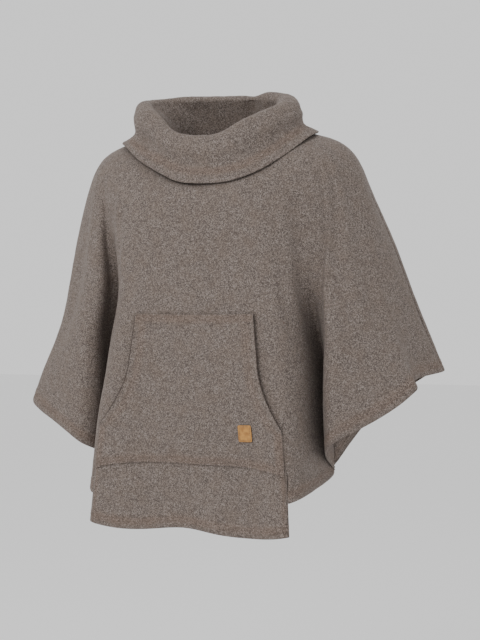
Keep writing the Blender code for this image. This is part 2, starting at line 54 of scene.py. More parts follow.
# Sections: the level of each ring at the front, over the shoulder and at the back
Level = namedtuple("Level", "drop front_z shoulder_z back_z")
LEVELS = [Level(*row) for row in (
    (0, -70, 16, 2), (50, -98, 5, -22), (105, -142, -17, -72), (170, -188, -78, -150),
    (240, -242, -192, -234), (290, -290, -272, -288), (340, -340, -338, -340), (430, -430, -430, -430),
    (520, -520, -520, -520), (610, -610, -610, -610), (720, -720, -720, -720),
)]

# The front panel: its centre, and the edge where it turns back towards the arm
Panel = namedtuple("Panel", "front_y edge_x edge_y")
PANEL = [Panel(*row) for row in (
    (-100, 52, -88), (-146, 84, -122), (-160, 112, -141), (-164, 130, -147), (-165, 142, -150),
    (-166, 148, -152), (-169, 156, -156), (-173, 170, -164), (-177, 180, -171), (-179, 187, -175),
    (-180, 192, -177),
)]
LEFT_EDGE_X = (52, 84, 112, 129, 137, 139, 145, 159, 171, 180, 188)
LEFT_PANEL = [panel._replace(edge_x=x) for panel, x in zip(PANEL, LEFT_EDGE_X)]

# The deep fold beside the panel: its floor, and the ridge where the wing begins
Fold = namedtuple("Fold", "floor_x floor_y ridge_x ridge_y")
RIGHT_FOLD = [Fold(*row) for row in (
    (84, -58, 92, -42), (138, -88, 152, -66), (184, -102, 206, -76), (206, -102, 230, -84),
    (208, -98, 234, -94), (200, -86, 232, -102), (198, -50, 236, -109), (203, -9, 232, -111),
    (208, -3, 233, -112), (214, -2, 240, -108), (220, -2, 246, -100),
)]
LEFT_DRAW = 0.02  # the left wing hangs this much closer
LEFT_FOLD = [Fold(*row) for row in (
    (84, -58, 92, -42), (136, -90, 150, -68), (176, -106, 200, -82), (190, -104, 216, -90),
    (186, -82, 212, -100), (182, -58, 212, -105), (196, -34, 223, -108), (203, -9, 228, -110),
    (208, -3, 231, -112), (214, -2, 238, -108), (220, -2, 246, -100),
)]

# The wing over the arm: its front corner, the hollow behind it, and the arm seam
Wing = namedtuple("Wing", "corner_x corner_y outer_x outer_y arm_x arm_y")
WING = [Wing(*row) for row in (
    (100, -14, 101, -2, 101, 12), (161, -24, 164, -2, 164, 18), (224, -30, 228, -4, 226, 24),
    (262, -36, 268, -6, 260, 30), (288, -40, 303, -6, 310, 40), (305, -42, 324, -4, 338, 48),
    (325, -43, 340, 0, 361, 58), (366, -46, 366, 6, 396, 74), (396, -48, 392, 12, 424, 88),
    (420, -48, 416, 16, 448, 100), (440, -48, 436, 20, 466, 108),
)]

# The back: the wing's ridge, the fold's floor, the edge of the back panel and its centre
Back = namedtuple("Back", "ridge_x ridge_y floor_x floor_y edge_x edge_y back_y")
BACK = [Back(*row) for row in (
    (86, 44, 72, 58, 48, 70, 78), (146, 72, 122, 92, 80, 106, 116), (206, 86, 176, 106, 112, 126, 136),
    (238, 98, 202, 112, 134, 138, 146), (254, 108, 208, 108, 150, 143, 150),
    (258, 116, 204, 92, 156, 145, 152), (258, 124, 198, 56, 159, 146, 153),
    (258, 132, 203, 9, 163, 143, 155), (258, 136, 208, 3, 163, 137, 155), (262, 138, 214, 2, 160, 131, 154),
    (268, 138, 220, 2, 158, 127, 153),
)]

# Girth of each named point of a section, from the centre front to the centre back
GIRTHS = {
    "front": 0.0, "quarter": 86.0, "edge": VENT, "side": 240.0, "floor": 318.0, "ridge": 410.0,
    "face": 490.0, "corner": 565.0, "outer": 625.0, "arm": ARM_SEAM, "back_corner": 735.0,
    "back_face": 810.0, "back_ridge": 885.0, "back_floor": 990.0, "back_side": 1065.0, "back_edge": 1140.0,
    "back_quarter": 1225.0, "back": HALF_GIRTH,
}

# Drop of the hem at each named point, on both sides
Hem = namedtuple("Hem", "name right left")
TAIL_HEM = [Hem("front", 692, 692), Hem("quarter", 703, 699), Hem("edge", 696, 691)]
SIDE_HEM = [Hem(*row) for row in (
    ("edge", 640, 640), ("side", 624, 626), ("floor", 604, 606), ("ridge", 552, 562), ("face", 504, 521),
    ("corner", 450, 487), ("outer", 433, 474), ("arm", 424, 466), ("back_corner", 422, 468),
    ("back_face", 448, 486), ("back_ridge", 498, 530), ("back_floor", 592, 598), ("back_side", 600, 608),
    ("back_edge", 612, 618), ("back_quarter", 664, 666), ("back", 688, 688),
)]

# Soft folds over the sections: centre girth, half width, the drops where each starts and is full, its depth
SoftFold = namedtuple("SoftFold", "girth half_width top full depth")
SOFT_FOLDS = [SoftFold(*row) for row in (
    (98, 30, 330, 640, -6), (-22, 40, 420, 690, -5), (48, 26, 420, 690, 4), (-110, 34, 470, 690, 4),
    (590, 16, 380, 440, -5), (560, 13, 395, 450, 8), (-500, 45, 250, 480, 5), (490, 40, 260, 470, 5),
    (-1225, 34, 380, 680, -6), (1200, 36, 400, 680, -6), (-820, 38, 300, 500, -6), (830, 38, 300, 500, -6),
)]


def spline_operator(knots):
    """Matrix that turns the values at the knots into the second derivatives of a natural cubic spline."""
    count = len(knots)
    step = np.diff(knots)
    left = np.eye(count)
    right = np.zeros((count, count))
    for i in range(1, count - 1):
        left[i, i - 1:i + 2] = step[i - 1], 2 * (step[i - 1] + step[i]), step[i]
        right[i, i - 1:i + 2] = 6 / step[i - 1], -6 / step[i - 1] - 6 / step[i], 6 / step[i]
    return np.linalg.solve(left, right)


def spline(knots, values, second, where):
    """Spline through values (..., knots, columns) at where: one place for each leading row, or for all."""
    where = np.clip(np.asarray(where, float), knots[0], knots[-1])
    span = np.clip(np.searchsorted(knots, where) - 1, 0, len(knots) - 2)
    width = (knots[span + 1] - knots[span])[:, None]
    high = (where - knots[span])[:, None] / width
    low = 1 - high
    if values.ndim == 3:
        rows = np.arange(len(where))
        a, b, sa, sb = values[rows, span], values[rows, span + 1], second[rows, span], second[rows, span + 1]
    else:
        a, b, sa, sb = values[span], values[span + 1], second[span], second[span + 1]
    return low * a + high * b + ((low ** 3 - low) * sa + (high ** 3 - high) * sb) * width ** 2 / 6


def smooth_step(x):
    x = np.clip(x, 0.0, 1.0)
    return x * x * (3 - 2 * x)


def between(start, end, share_x, share_y, more_x=0.0, more_y=0.0):
    """A place part of the way from start to end, with its own share in x and y, and moved a little more."""
    return (start[0] + share_x * (end[0] - start[0]) + more_x,
            start[1] + share_y * (end[1] - start[1]) + more_y)


def section(i, panels, folds):
    """The named points of section i on the right half, front to back, from the tables."""
    level = LEVELS[i]
    deep = min(1.0, max(0.0, (level.drop - FOLD_OPENS) / FOLD_GROWS))  # how far the side folds have opened
    hung = float(smooth_step(level.drop / SHOULDER_DROP))  # how far the back has come off the shoulder
    front, edge = (0, panels[i].front_y), panels[i][1:]
    floor, ridge = folds[i][:2], folds[i][2:]
    corner, outer, arm = WING[i][:2], WING[i][2:4], WING[i][4:]
    back_ridge, back_floor, back_edge, back = BACK[i][:2], BACK[i][2:4], BACK[i][4:6], (0, BACK[i].back_y)
    plan = [
        front, between(front, edge, 0.52, 0.22), edge, between(edge, floor, 0.50 + 0.32 * deep, 0.48),
        floor, ridge, between(ridge, corner, 0.5, 0.5, 0, -6 - 6 * deep), corner, outer, arm,
        between(arm, back_ridge, 0.10, 0.33 + 0.22 * hung, -4 * deep),
        between(arm, back_ridge, 0.36 + 0.14 * hung, 0.68 + 0.34 * hung), back_ridge, back_floor,
        between(back_edge, back_floor, 0.50 - 0.12 * deep, 0.48), back_edge,
        between(back, back_edge, 0.52, 0.22), back,
    ]
    points = []
    for x, y in plan:
        facing = -y / math.hypot(x, y)  # 1 to the front, 0 over the shoulder, -1 to the back
        end_z = level.front_z if facing >= 0 else level.back_z
        points.append((x, y, level.shoulder_z + abs(facing) ** SHOULDER_ROUND * (end_z - level.shoulder_z)))
    return np.array(points)


FOLD_OPENS = 240.0  # drop where the side folds start to open
FOLD_GROWS = 190.0  # drop over which they open
SHOULDER_DROP = 170.0  # drop over which the back comes off the shoulder
SHOULDER_ROUND = 1.6  # how suddenly the levels fall away from over the shoulder
WING_POINTS = slice(5, 11)  # from the face to the back's face, in a half section without its ends
OVERLAP = 5  # points repeated past the centre back, so that the spline is smooth there


def closed_rings():
    """All sections as closed rings, and the girths of their points."""
    rings = []
    for i, level in enumerate(LEVELS):
        left = section(i, LEFT_PANEL, LEFT_FOLD)[1:-1] * (-1, 1, 1)
        left[WING_POINTS, 0] *= 1 - LEFT_DRAW * smooth_step((level.drop - FOLD_OPENS) / 100)
        rings.append(np.concatenate([left[::-1], section(i, PANEL, RIGHT_FOLD)]))
    rings = np.array(rings)
    girths = np.array(list(GIRTHS.values()))
    knots = np.concatenate([-girths[1:-1][::-1], girths])
    knots = np.concatenate([knots[-OVERLAP:] - 2 * HALF_GIRTH, knots, knots[:OVERLAP] + 2 * HALF_GIRTH])
    return knots, np.concatenate([rings[:, -OVERLAP:], rings, rings[:, :OVERLAP]], axis=1)


DROPS = np.array([level.drop for level in LEVELS], float)
KNOTS, RINGS = closed_rings()
FLAT_RINGS = RINGS.reshape(len(DROPS), -1)
FLAT_SECOND = spline_operator(DROPS) @ FLAT_RINGS
ROUND_OPERATOR = spline_operator(KNOTS)


def section_surface(girth, drop):
    """Points of the smooth surface through the sections."""
    ring = spline(DROPS, FLAT_RINGS, FLAT_SECOND, drop).reshape(len(drop), len(KNOTS), 3)
    second = np.einsum("ij,njk->nik", ROUND_OPERATOR, ring)
    return spline(KNOTS, ring, second, girth)


SEAM_REACH = 60.0  # how far from the side seam the layers are held apart
PROBE = 2.0  # distance over which slopes are measured


def soft_fold_height(girth, drop):
    height = np.zeros(len(girth))
    for fold in SOFT_FOLDS:
        across = np.exp(-((girth - fold.girth) / fold.half_width) ** 2)
        height += fold.depth * across * smooth_step((drop - fold.top) / (fold.full - fold.top))
    return height


def face_normal(girth, drop):
    """Direction out of the cloth's face."""
    across = section_surface(girth + PROBE, drop) - section_surface(girth - PROBE, drop)
    down = section_surface(girth, drop + PROBE) - section_surface(girth, np.maximum(drop - PROBE, 0))
    normal = np.cross(down, across)
    return normal / np.linalg.norm(normal, axis=1)[:, None]


def cloth(girth, drop, out=0.0):
    """Points of the cloth's outer face at these girths and drops, moved out along its normal. In the floor
    of the side fold, where they are sewn together, the two layers are kept a seam gap apart."""
    girth, drop = np.asarray(girth, float), np.asarray(drop, float)
    height = soft_fold_height(girth, drop) + out
    points = section_surface(girth, drop) + face_normal(girth, drop) * height[:, None]
    limit = WALL + SEAM_GAP / 2 + out
    in_front = np.abs(np.abs(girth) - GIRTHS["floor"]) < SEAM_REACH
    in_back = np.abs(np.abs(girth) - GIRTHS["back_floor"]) < SEAM_REACH
    points[:, 1] = np.where(in_front, np.minimum(points[:, 1], -limit), points[:, 1])
    points[:, 1] = np.where(in_back, np.maximum(points[:, 1], limit), points[:, 1])
    return points


def smooth_line(x, y, where):
    """A smooth line through the places x with the values y, read at where."""
    y = np.array(y, float)[:, None]
    return spline(x, y, spline_operator(x) @ y, where)[:, 0]


def hem_drop(girth, table):
    """Drop of the hem at these girths, on a smooth line through a hem table."""
    girths = np.array([GIRTHS[hem.name] for hem in table])
    left, right = [hem.left for hem in table], [hem.right for hem in table]
    if girths[0] == 0:
        return smooth_line(np.append(-girths[:0:-1], girths), left[:0:-1] + right, girth)
    on_left = smooth_line(-girths[::-1], left[::-1], girth)
    return np.where(np.asarray(girth) < 0, on_left, smooth_line(girths, right, girth))


def hem_slope(girth, table):
    return (hem_drop(girth + PROBE, table) - hem_drop(girth - PROBE, table)) / (2 * PROBE)


NOISE_CELLS = 95  # the grid of random heights repeats after this many cells each way
NOISE_START = (48, 6)  # its cell at girth and drop 0


def soft_noise(across, down, cell_across, cell_down, seed):
    """Smooth random heights between -1 and 1, from a seeded grid of cells laid over the pattern."""
    grid = np.random.default_rng(seed).uniform(-1, 1, (NOISE_CELLS + 1, NOISE_CELLS + 1))
    x = np.asarray(across, float) / cell_across + NOISE_START[0]
    y = np.asarray(down, float) / cell_down + NOISE_START[1]
    column, row = np.floor(x).astype(int), np.floor(y).astype(int)
    fx, fy = smooth_step(x - column), smooth_step(y - row)
    column, row = column % NOISE_CELLS, row % NOISE_CELLS
    top = grid[row, column] * (1 - fx) + grid[row, column + 1] * fx
    foot = grid[row + 1, column] * (1 - fx) + grid[row + 1, column + 1] * fx
    return top * (1 - fy) + foot * fy


# Creases of the cloth: where the middle lies, how far the crease leans from straight down to the wearer's
# left, its length and half width, and its height, which is negative for a trough
Crease = namedtuple("Crease", "girth drop lean length half_width height")
FRONT_CREASES = [Crease(*row) for row in (
    (196, 250, 4, 260, 15, -2.6), (232, 262, 5, 240, 16, 2.2), (268, 236, 3, 210, 17, -2.4),
    (-196, 236, -5, 220, 17, -2.4), (-240, 210, -6, 200, 18, 2.0), (-396, 450, 0, 400, 21, 11.0),
    (-196, 350, 0, 230, 26, -6.0), (372, 250, 4, 240, 16, -3.0), (404, 330, 2, 260, 15, 3.4),
    (-356, 250, -4, 190, 15, -4.0), (190, 336, 80, 62, 5, -2.6), (186, 352, 62, 70, 8, 1.6),
    (176, 372, 40, 90, 9, -1.6), (-182, 350, -66, 60, 8, -1.4), (-172, 380, -40, 80, 9, 1.2),
    (455, 250, 8, 300, 24, -2.6), (500, 300, 10, 260, 22, 2.2), (540, 260, 7, 260, 20, -2.4),
    (-470, 300, -9, 300, 26, 2.4), (-520, 330, -12, 250, 22, -2.4), (20, 150, 20, 120, 26, -1.2),
    (-60, 190, -34, 130, 24, -1.2), (96, 190, 38, 130, 24, -1.4), (-30, 262, 70, 170, 16, -0.9),
    (60, 290, 100, 150, 14, 0.9), (30, 640, 6, 110, 18, -1.6), (-70, 652, -4, 100, 20, 1.6),
    (-128, 648, -6, 110, 16, -1.4), (98, 480, 2, 360, 20, -2.2), (-60, 500, -3, 260, 26, -1.4),
)]
BACK_CREASES = [Crease(*row) for row in (
    (1240, 200, 30, 170, 28, -1.8), (-1230, 190, -28, 170, 28, -1.8), (1290, 320, 84, 190, 17, -1.0),
    (1180, 470, 3, 330, 22, -2.4), (-1190, 480, -4, 310, 22, -2.2), (1280, 540, 2, 260, 24, 1.8),
    (850, 280, -8, 300, 24, -2.6), (800, 330, -10, 250, 22, 2.4), (-840, 300, 9, 300, 24, -2.4),
    (-790, 340, 12, 240, 20, 2.0), (1080, 240, -4, 240, 17, -2.4), (-1080, 236, 4, 250, 17, -2.4),
    (1060, 350, -60, 70, 9, -2.2), (-1060, 350, 60, 70, 9, -2.2),
)]


def crease_height(girth, drop, creases):
    height = np.zeros(len(girth))
    for crease in creases:
        lean = math.radians(crease.lean)
        across, down = girth - crease.girth, drop - crease.drop
        along = across * math.sin(lean) + down * math.cos(lean)
        off = across * math.cos(lean) - down * math.sin(lean)
        reach = np.exp(-(2 * along / crease.length) ** 4)
        height += crease.height * np.exp(-(off / crease.half_width) ** 2) * reach
    return height


HEM_TURN = 19.0  # depth of the turned hem
HEM_ROWS = (11.5, 17.0)  # its two rows of stitches, from the edge
HEM_SWELL = 0.9  # how far the doubled cloth stands out
SINK = 0.75  # how deep a row of stitches pulls the felt in
SINK_WIDTH = 1.5
EDGE_ROUND = 2.4
PUCKER = 0.35
PUCKER_LENGTH = 17.0


def sewn_edge(distance, along, turn, rows, seed):
    """Height of the felt near a turned edge: swollen over the turning, round at the edge, sunk at rows."""
    swell = HEM_SWELL * (1 - smooth_step((distance - turn) / 3))
    edge = -WALL * 0.42 * (1 - smooth_step(distance / EDGE_ROUND))
    sunk = sum(-SINK * np.exp(-((distance - row) / SINK_WIDTH) ** 2) for row in rows)
    ripple = soft_noise(along, np.zeros(len(along)), PUCKER_LENGTH, 1.0, seed)
    pucker = PUCKER * ripple * np.exp(-((distance - turn * 0.6) / turn) ** 2)
    return swell + edge + sunk + pucker


TINT_FADES = 9.0  # how far from its rows the thread still shows through the nap


def stitched_tint(distance, rows):
    """How much the brown thread shows through the nap, near rows of stitches."""
    middle, half = sum(rows) / len(rows), (max(rows) - min(rows)) / 2
    return 1 - smooth_step((np.abs(distance - middle) - half) / TINT_FADES)


def hem_distance(girth, drop, table):
    """Distance up from the hem, square to it."""
    return (hem_drop(girth, table) - drop) / np.sqrt(1 + hem_slope(girth, table) ** 2)


FELT_WAVE = 1.0  # broad unevenness of the hanging cloth
FELT_LUMP = 0.28  # small unevenness of the felt itself
SEAM_DIP = 1.5
SEAM_HALF = 4.0
VENT_TURN = 12.0
VENT_ROWS = (8.5,)


def felt_height(girth, drop, seed):
    broad = soft_noise(girth, drop, 58, 85, seed) * smooth_step((drop - 40) / 120)
    return FELT_WAVE * broad + FELT_LUMP * soft_noise(girth, drop, 9, 9, seed + 1)


def seam_dip(girth):
    return -SEAM_DIP * np.exp(-((np.abs(girth) - ARM_SEAM) / SEAM_HALF) ** 2)


def slit_share(drop):
    """How much of the slit's edge there is beside the tail at these drops."""
    return smooth_step((drop - VENT_TOP + VENT_TURN) / VENT_TURN)


def front_relief(girth, drop, tail):
    """Height of the front's face over its plain form. The tail and the sides have hems of their own."""
    height = felt_height(girth, drop, 11) + crease_height(girth, drop, FRONT_CREASES) + seam_dip(girth)
    hem = TAIL_HEM if tail else SIDE_HEM
    height += sewn_edge(hem_distance(girth, drop, hem), girth, HEM_TURN, HEM_ROWS, 21)
    if tail:
        height += slit_share(drop) * sewn_edge(VENT - np.abs(girth), drop, VENT_TURN, VENT_ROWS, 23)
    return height


def front_tint(girth, drop, tail):
    tint = stitched_tint(hem_distance(girth, drop, TAIL_HEM if tail else SIDE_HEM), HEM_ROWS)
    if tail:
        tint = np.maximum(tint, slit_share(drop) * stitched_tint(VENT - np.abs(girth), VENT_ROWS))
    return tint


# Distances up from the hem of the lowest rows of points, close together where the hem is turned and sewn
NEAR_HEM = (0, 0.8, 2, 4, 7, 10, 11.5, 13, 14.3, 15.6, 17, 18.5, 20, 22.5, 27)
ROWS_ABOVE = 84
ROWS_BETWEEN = 5
COLUMN_STEP = 5.6
SLIT_OPEN = 1.5  # how far the slit stands open at its top
SLIT_RAMP = 16.0  # drop over which the side goes behind the tail
LAP_RAMP = 36.0  # drop over which it then runs in under the tail


def rows_down(line, hem):
    above = [line * part * (0.72 + 0.28 * part) for part in np.linspace(0, 1, ROWS_ABOVE + 1)]
    lower = list(np.linspace(line, hem - NEAR_HEM[-1], ROWS_BETWEEN + 1)[1:-1])
    return above + lower + [hem - distance for distance in NEAR_HEM[::-1]]


def vent_line(girth):
    """Level of the row that meets the slit's top, a constant share of the side's hem."""
    if abs(girth) <= VENT:
        return VENT_TOP
    return VENT_TOP / SIDE_HEM[0].right * float(hem_drop([girth], SIDE_HEM)[0])


def grid_faces(numbers):
    """Quads between the neighbouring columns and rows of a table of point numbers."""
    faces = []
    for left, right in zip(numbers[:-1], numbers[1:]):
        faces += [(left[i], left[i + 1], right[i + 1], right[i]) for i in range(len(left) - 1)]
    return faces


def add_object(name, data):
    thing = bpy.data.objects.new(name, data)
    bpy.context.scene.collection.objects.link(thing)
    return thing


def add_mesh(name, points, faces, material):
    """A smooth mesh object, from points in millimetres."""
    mesh = bpy.data.meshes.new(name)
    mesh.from_pydata((np.asarray(points) * MM).tolist(), [], faces)
    mesh.materials.append(material)
    mesh.shade_smooth()
    return add_object(name, mesh)


def cloth_piece(name, points, faces, tint, material, wall):
    """A thin shell of cloth: the modelled face, and a wall behind it."""
    piece = add_mesh(name, points, faces, material)
    # Per point: how much brown thread shows, and below zero the painted shade at a pocket's opening.
    thread_and_shade = piece.data.attributes.new("thread_and_shade", "FLOAT", "POINT")
    thread_and_shade.data.foreach_set("value", np.asarray(tint, np.float32))
    solidify = piece.modifiers.new("wall", "SOLIDIFY")
    solidify.thickness = wall * MM
    solidify.offset = -1
    solidify.use_quality_normals = True
    return piece


def new_material(name):
    material = bpy.data.materials.new(name)
    material.use_nodes = True
    return material, material.node_tree, material.node_tree.nodes["Principled BSDF"]


def set_inputs(tree, node, inputs):
    """Link each input of a node to a socket, or give it a plain value."""
    for key, value in inputs.items():
        if isinstance(value, bpy.types.NodeSocket):
            tree.links.new(value, node.inputs[key])
        else:
            node.inputs[key].default_value = value


def add_node(tree, kind, output, inputs, **settings):
    """Add a node with these inputs, and give back one of its outputs."""
    node = tree.nodes.new("ShaderNode" + kind)
    for name, value in settings.items():
        setattr(node, name, value)
    set_inputs(tree, node, inputs)
    return node.outputs[output]


def add_ramp(tree, value, stops):
    """Turn a value into a colour, through stops of (position, colour)."""
    node = tree.nodes.new("ShaderNodeValToRGB")
    elements = node.color_ramp.elements
    for element, (position, colour) in ((elements[0], stops[0]), (elements[1], stops[-1])):
        element.position, element.color = position, colour
    for position, colour in stops[1:-1]:
        elements.new(position).color = colour
    tree.links.new(value, node.inputs["Fac"])
    return node.outputs["Color"]


# Colours of the felt, as the fibres are: a grey-brown ground with paler and darker flecks, and brown thread
FELT_DARK = (0.058, 0.047, 0.041, 1)
FELT_MID = (0.145, 0.118, 0.104, 1)
FELT_PALE = (0.285, 0.245, 0.220, 1)
FELT_WARM = (0.150, 0.111, 0.086, 1)
NO_CLOUD, FULL_CLOUD = (0, 0, 0, 1), (0.30, 0.30, 0.30, 1)
FIBRE_DARK, FIBRE_PALE = (0.74, 0.74, 0.74, 1), (1.24, 1.24, 1.24, 1)
THREAD_SHOWS = (1.01, 0.96, 0.925, 1)  # the brown thread under the nap, over the felt's own colours
PAINTED_MOUTH_SHADE = (0.30, 0.28, 0.27, 1)  # painted shade along the edge of a pocket's opening, where the thread attribute is below zero
FELT_SHADER = {"Roughness": 0.95, "Specular IOR Level": 0.15, "Sheen Weight": 0.16, "Sheen Roughness": 0.45,
               "Sheen Tint": (0.62, 0.56, 0.52, 1)}
NAP_STRENGTH, NAP_DEPTH = 0.55, 0.0007
Noise = namedtuple("Noise", "size detail roughness seed")  # size in millimetres
FLECKS = Noise(1.6, 3, 0.65, 1.3)
CLOUDS = Noise(26.0, 3, 0.55, 7.1)
FIBRES = Noise(0.9, 2, 0.7, 4.7)
NAP = Noise(1.35, 4, 0.7, 2.2)


def felt_material():
    """Carded wool, felted: flecks of several shades under a short nap, tinted where brown thread runs, and
    darkened with painted shade along the pockets' openings.
    """
    material, tree, shader = new_material("felted_wool")
    place = add_node(tree, "TexCoord", "Object", {})

    def noise(kind):
        inputs = {"W": kind.seed, "Scale": 1 / (kind.size * MM), "Detail": kind.detail,
                  "Roughness": kind.roughness, "Vector": place}
        return add_node(tree, "TexNoise", "Fac", inputs, noise_dimensions="4D")

    def mix(factor, first, second, blend="MULTIPLY"):
        return add_node(tree, "Mix", 2, {0: factor, 6: first, 7: second}, data_type="RGBA", blend_type=blend)

    flecks = add_ramp(tree, noise(FLECKS), [(0.36, FELT_DARK), (0.5, FELT_MID), (0.64, FELT_PALE)])
    warm = add_ramp(tree, noise(CLOUDS), [(0.42, NO_CLOUD), (0.68, FULL_CLOUD)])
    fibres = add_ramp(tree, noise(FIBRES), [(0.34, FIBRE_DARK), (0.66, FIBRE_PALE)])
    colour = mix(1.0, mix(warm, flecks, FELT_WARM, "MIX"), fibres)
    # The attribute holds the brown thread's tint, and below zero the painted shade at the pockets' openings.
    sewn = add_node(tree, "Attribute", "Fac", {}, attribute_name="thread_and_shade")
    painted_shade = add_node(tree, "Math", 0, {0: sewn, 1: -1}, operation="MULTIPLY", use_clamp=True)
    colour = mix(painted_shade, mix(sewn, colour, THREAD_SHOWS), PAINTED_MOUTH_SHADE)
    bump = {"Strength": NAP_STRENGTH, "Distance": NAP_DEPTH, "Height": noise(NAP)}
    set_inputs(tree, shader, {**FELT_SHADER, "Base Color": colour,
                              "Normal": add_node(tree, "Bump", "Normal", bump)})
    return material


FELT = felt_material()


def make_front():
    """Columns of points from arm seam to arm seam. Below the slit's top, tail and side have their own."""
    half = np.arange(0, ARM_SEAM, COLUMN_STEP)
    at_slit = int(np.argmin(np.abs(half - VENT)))
    half[at_slit] = VENT
    half = np.append(half, ARM_SEAM - SEAM_GAP / 2)
    girths = np.concatenate([-half[::-1], half[1:]])
    places = []
    tail, side = {}, {}
    for column, girth in enumerate(girths):
        in_tail = abs(girth) <= VENT
        hem = float(hem_drop([girth], TAIL_HEM if in_tail else SIDE_HEM)[0])
        first = len(places)
        places += [(girth, drop, 0.0, in_tail) for drop in rows_down(vent_line(girth), hem)]
        numbers = list(range(first, len(places)))
        (tail if in_tail else side)[column] = numbers
        if abs(girth) == VENT:
            sign = math.copysign(1, girth)
            low = rows_down(VENT_TOP, float(hem_drop([girth], SIDE_HEM)[0]))[ROWS_ABOVE + 1:]
            first = len(places)
            for drop in low:
                under = smooth_step((drop - VENT_TOP - SLIT_RAMP) / LAP_RAMP)
                lap = VENT_LAP * under - SLIT_OPEN * (1 - under)
                step = VENT_STEP * smooth_step((drop - VENT_TOP) / SLIT_RAMP)
                places.append((girth - sign * lap, drop, -step, False))
            side[column] = numbers[:ROWS_ABOVE + 1] + list(range(first, len(places)))
    faces = []
    for banks in (tail, side):
        for column in range(len(girths) - 1):
            if column in banks and column + 1 in banks:
                faces += grid_faces([banks[column], banks[column + 1]])
    girth, drop, height, in_tail = (np.array(values) for values in zip(*places))
    relief = np.where(in_tail, front_relief(girth, drop, True), front_relief(girth, drop, False))
    tint = np.where(in_tail, front_tint(girth, drop, True), front_tint(girth, drop, False))
    return cloth_piece("poncho_front", cloth(girth, drop, height + relief), faces, tint, FELT, WALL)


front = make_front()
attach(front, "root")
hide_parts("front", "left_wing_front", "right_wing_front")

# The thread: brown polyester, in rows of lock stitches that sink into the nap of the felt. Each stitch is a
# short thick strand, fuller in the middle.
THREAD_DARK = (0.1125, 0.078, 0.0615, 1)
THREAD_PALE = (0.195, 0.1352, 0.1066, 1)
THREAD_TWIST = 900  # turns of shade for each metre
THREAD_RADIUS = 0.30
STITCH_LENGTH = 3.1
STITCH_PITCH = 3.8
STITCH_SIDES = 6
# For each ring of points along a stitch: share of its length, share of its radius, and height over the cloth
STITCH_PROFILE = np.array([(0.0, 0.35, -0.45), (0.25, 0.95, -0.02), (0.75, 0.95, -0.02), (1.0, 0.35, -0.45)])
STITCH_POINTS = len(STITCH_PROFILE) * STITCH_SIDES


def thread_material():
    material, tree, shader = new_material("brown_thread")
    place = add_node(tree, "TexCoord", "Object", {})
    twist = add_node(tree, "TexNoise", "Fac", {"Scale": THREAD_TWIST, "Vector": place})
    colour = add_ramp(tree, twist, [(0, THREAD_DARK), (1, THREAD_PALE)])
    set_inputs(tree, shader, {"Base Color": colour, "Roughness": 0.7, "Sheen Weight": 0.1})
    return material


def stitch_faces():
    """Faces of one stitch: the rings' sides, and a cap at each end."""
    faces = []
    for first in range(0, STITCH_POINTS - STITCH_SIDES, STITCH_SIDES):
        for k in range(STITCH_SIDES):
            a, b = first + k, first + (k + 1) % STITCH_SIDES
            faces.append((a, b, b + STITCH_SIDES, a + STITCH_SIDES))
    last = range(STITCH_POINTS - STITCH_SIDES, STITCH_POINTS)
    return faces + [tuple(range(STITCH_SIDES - 1, -1, -1)), tuple(last)]


THREAD = thread_material()
STITCH_FACES = stitch_faces()


def stitch_runs(name, runs):
    """One mesh of all the stitches along several runs of (points, normals) on the cloth's face."""
    points = []
    for line, normals in runs:
        reach = np.concatenate([[0], np.cumsum(np.linalg.norm(np.diff(line, axis=0), axis=1))])
        starts = np.arange(0.5 * STITCH_PITCH, reach[-1] - STITCH_LENGTH, STITCH_PITCH)
        if not len(starts):
            continue

        def at(places, values):
            return np.stack([np.interp(places, reach, values[:, axis]) for axis in range(3)], axis=-1)

        along, full, lift = STITCH_PROFILE.T
        places = starts[:, None] + along[None, :] * STITCH_LENGTH
        up = at(places, normals)
        up /= np.linalg.norm(up, axis=-1)[..., None]
        side = np.cross(at(places + 0.5, line) - at(places - 0.5, line), up)
        side /= np.linalg.norm(side, axis=-1)[..., None]
        middle = at(places, line) + up * lift[None, :, None]
        turn = np.linspace(0, 2 * math.pi, STITCH_SIDES, endpoint=False)
        ring = (np.cos(turn)[None, None, :, None] * side[:, :, None, :]
                + np.sin(turn)[None, None, :, None] * up[:, :, None, :])
        radius = THREAD_RADIUS * full[None, :, None, None]
        points.append((middle[:, :, None, :] + radius * ring).reshape(-1, 3))
    points = np.concatenate(points)
    faces = [tuple(first + k for k in face) for first in range(0, len(points), STITCH_POINTS)
             for face in STITCH_FACES]
    piece = add_mesh(name, points, faces, THREAD)
    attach(piece, "root")
    return piece


STITCH_LIES = 0.2  # how far a row of stitches lies over the cloth's face


def cloth_run(girth, drop, relief):
    """A line on the cloth, as points and normals for stitch_runs."""
    girth, drop = np.asarray(girth, float), np.asarray(drop, float)
    return cloth(girth, drop, relief + STITCH_LIES), face_normal(girth, drop)


def hem_run(start, end, row, table, relief):
    """A row of stitches along a hem, between two girths."""
    girth = np.linspace(start, end, max(8, int(abs(end - start) / 4)))
    drop = hem_drop(girth, table) - row * np.sqrt(1 + hem_slope(girth, table) ** 2)
    return cloth_run(girth, drop, relief(girth, drop))


front_runs = []
for row in HEM_ROWS:
    front_runs.append(hem_run(-VENT + 3, VENT - 3, row, TAIL_HEM, lambda g, d: front_relief(g, d, True)))
    for sign in (-1, 1):
        front_runs.append(hem_run(sign * (VENT + 6), sign * (ARM_SEAM - 3), row, SIDE_HEM,
                                  lambda g, d: front_relief(g, d, False)))
for sign in (-1, 1):
    slit_drop = np.linspace(VENT_TOP + 4, float(hem_drop([sign * VENT], TAIL_HEM)[0]) - 3, 30)
    slit_girth = np.full(30, sign * (VENT - VENT_ROWS[0]))
    front_runs.append(cloth_run(slit_girth, slit_drop, front_relief(slit_girth, slit_drop, True)))
front_stitching = stitch_runs("front_stitching", front_runs)

# The back: cut like the front but without a tail, in one piece of the same felt. It is sewn along the
# front's shoulder edge and in the floor of each side fold. Its hem is turned and sewn with two rows.
BACK_STEP = 6.6


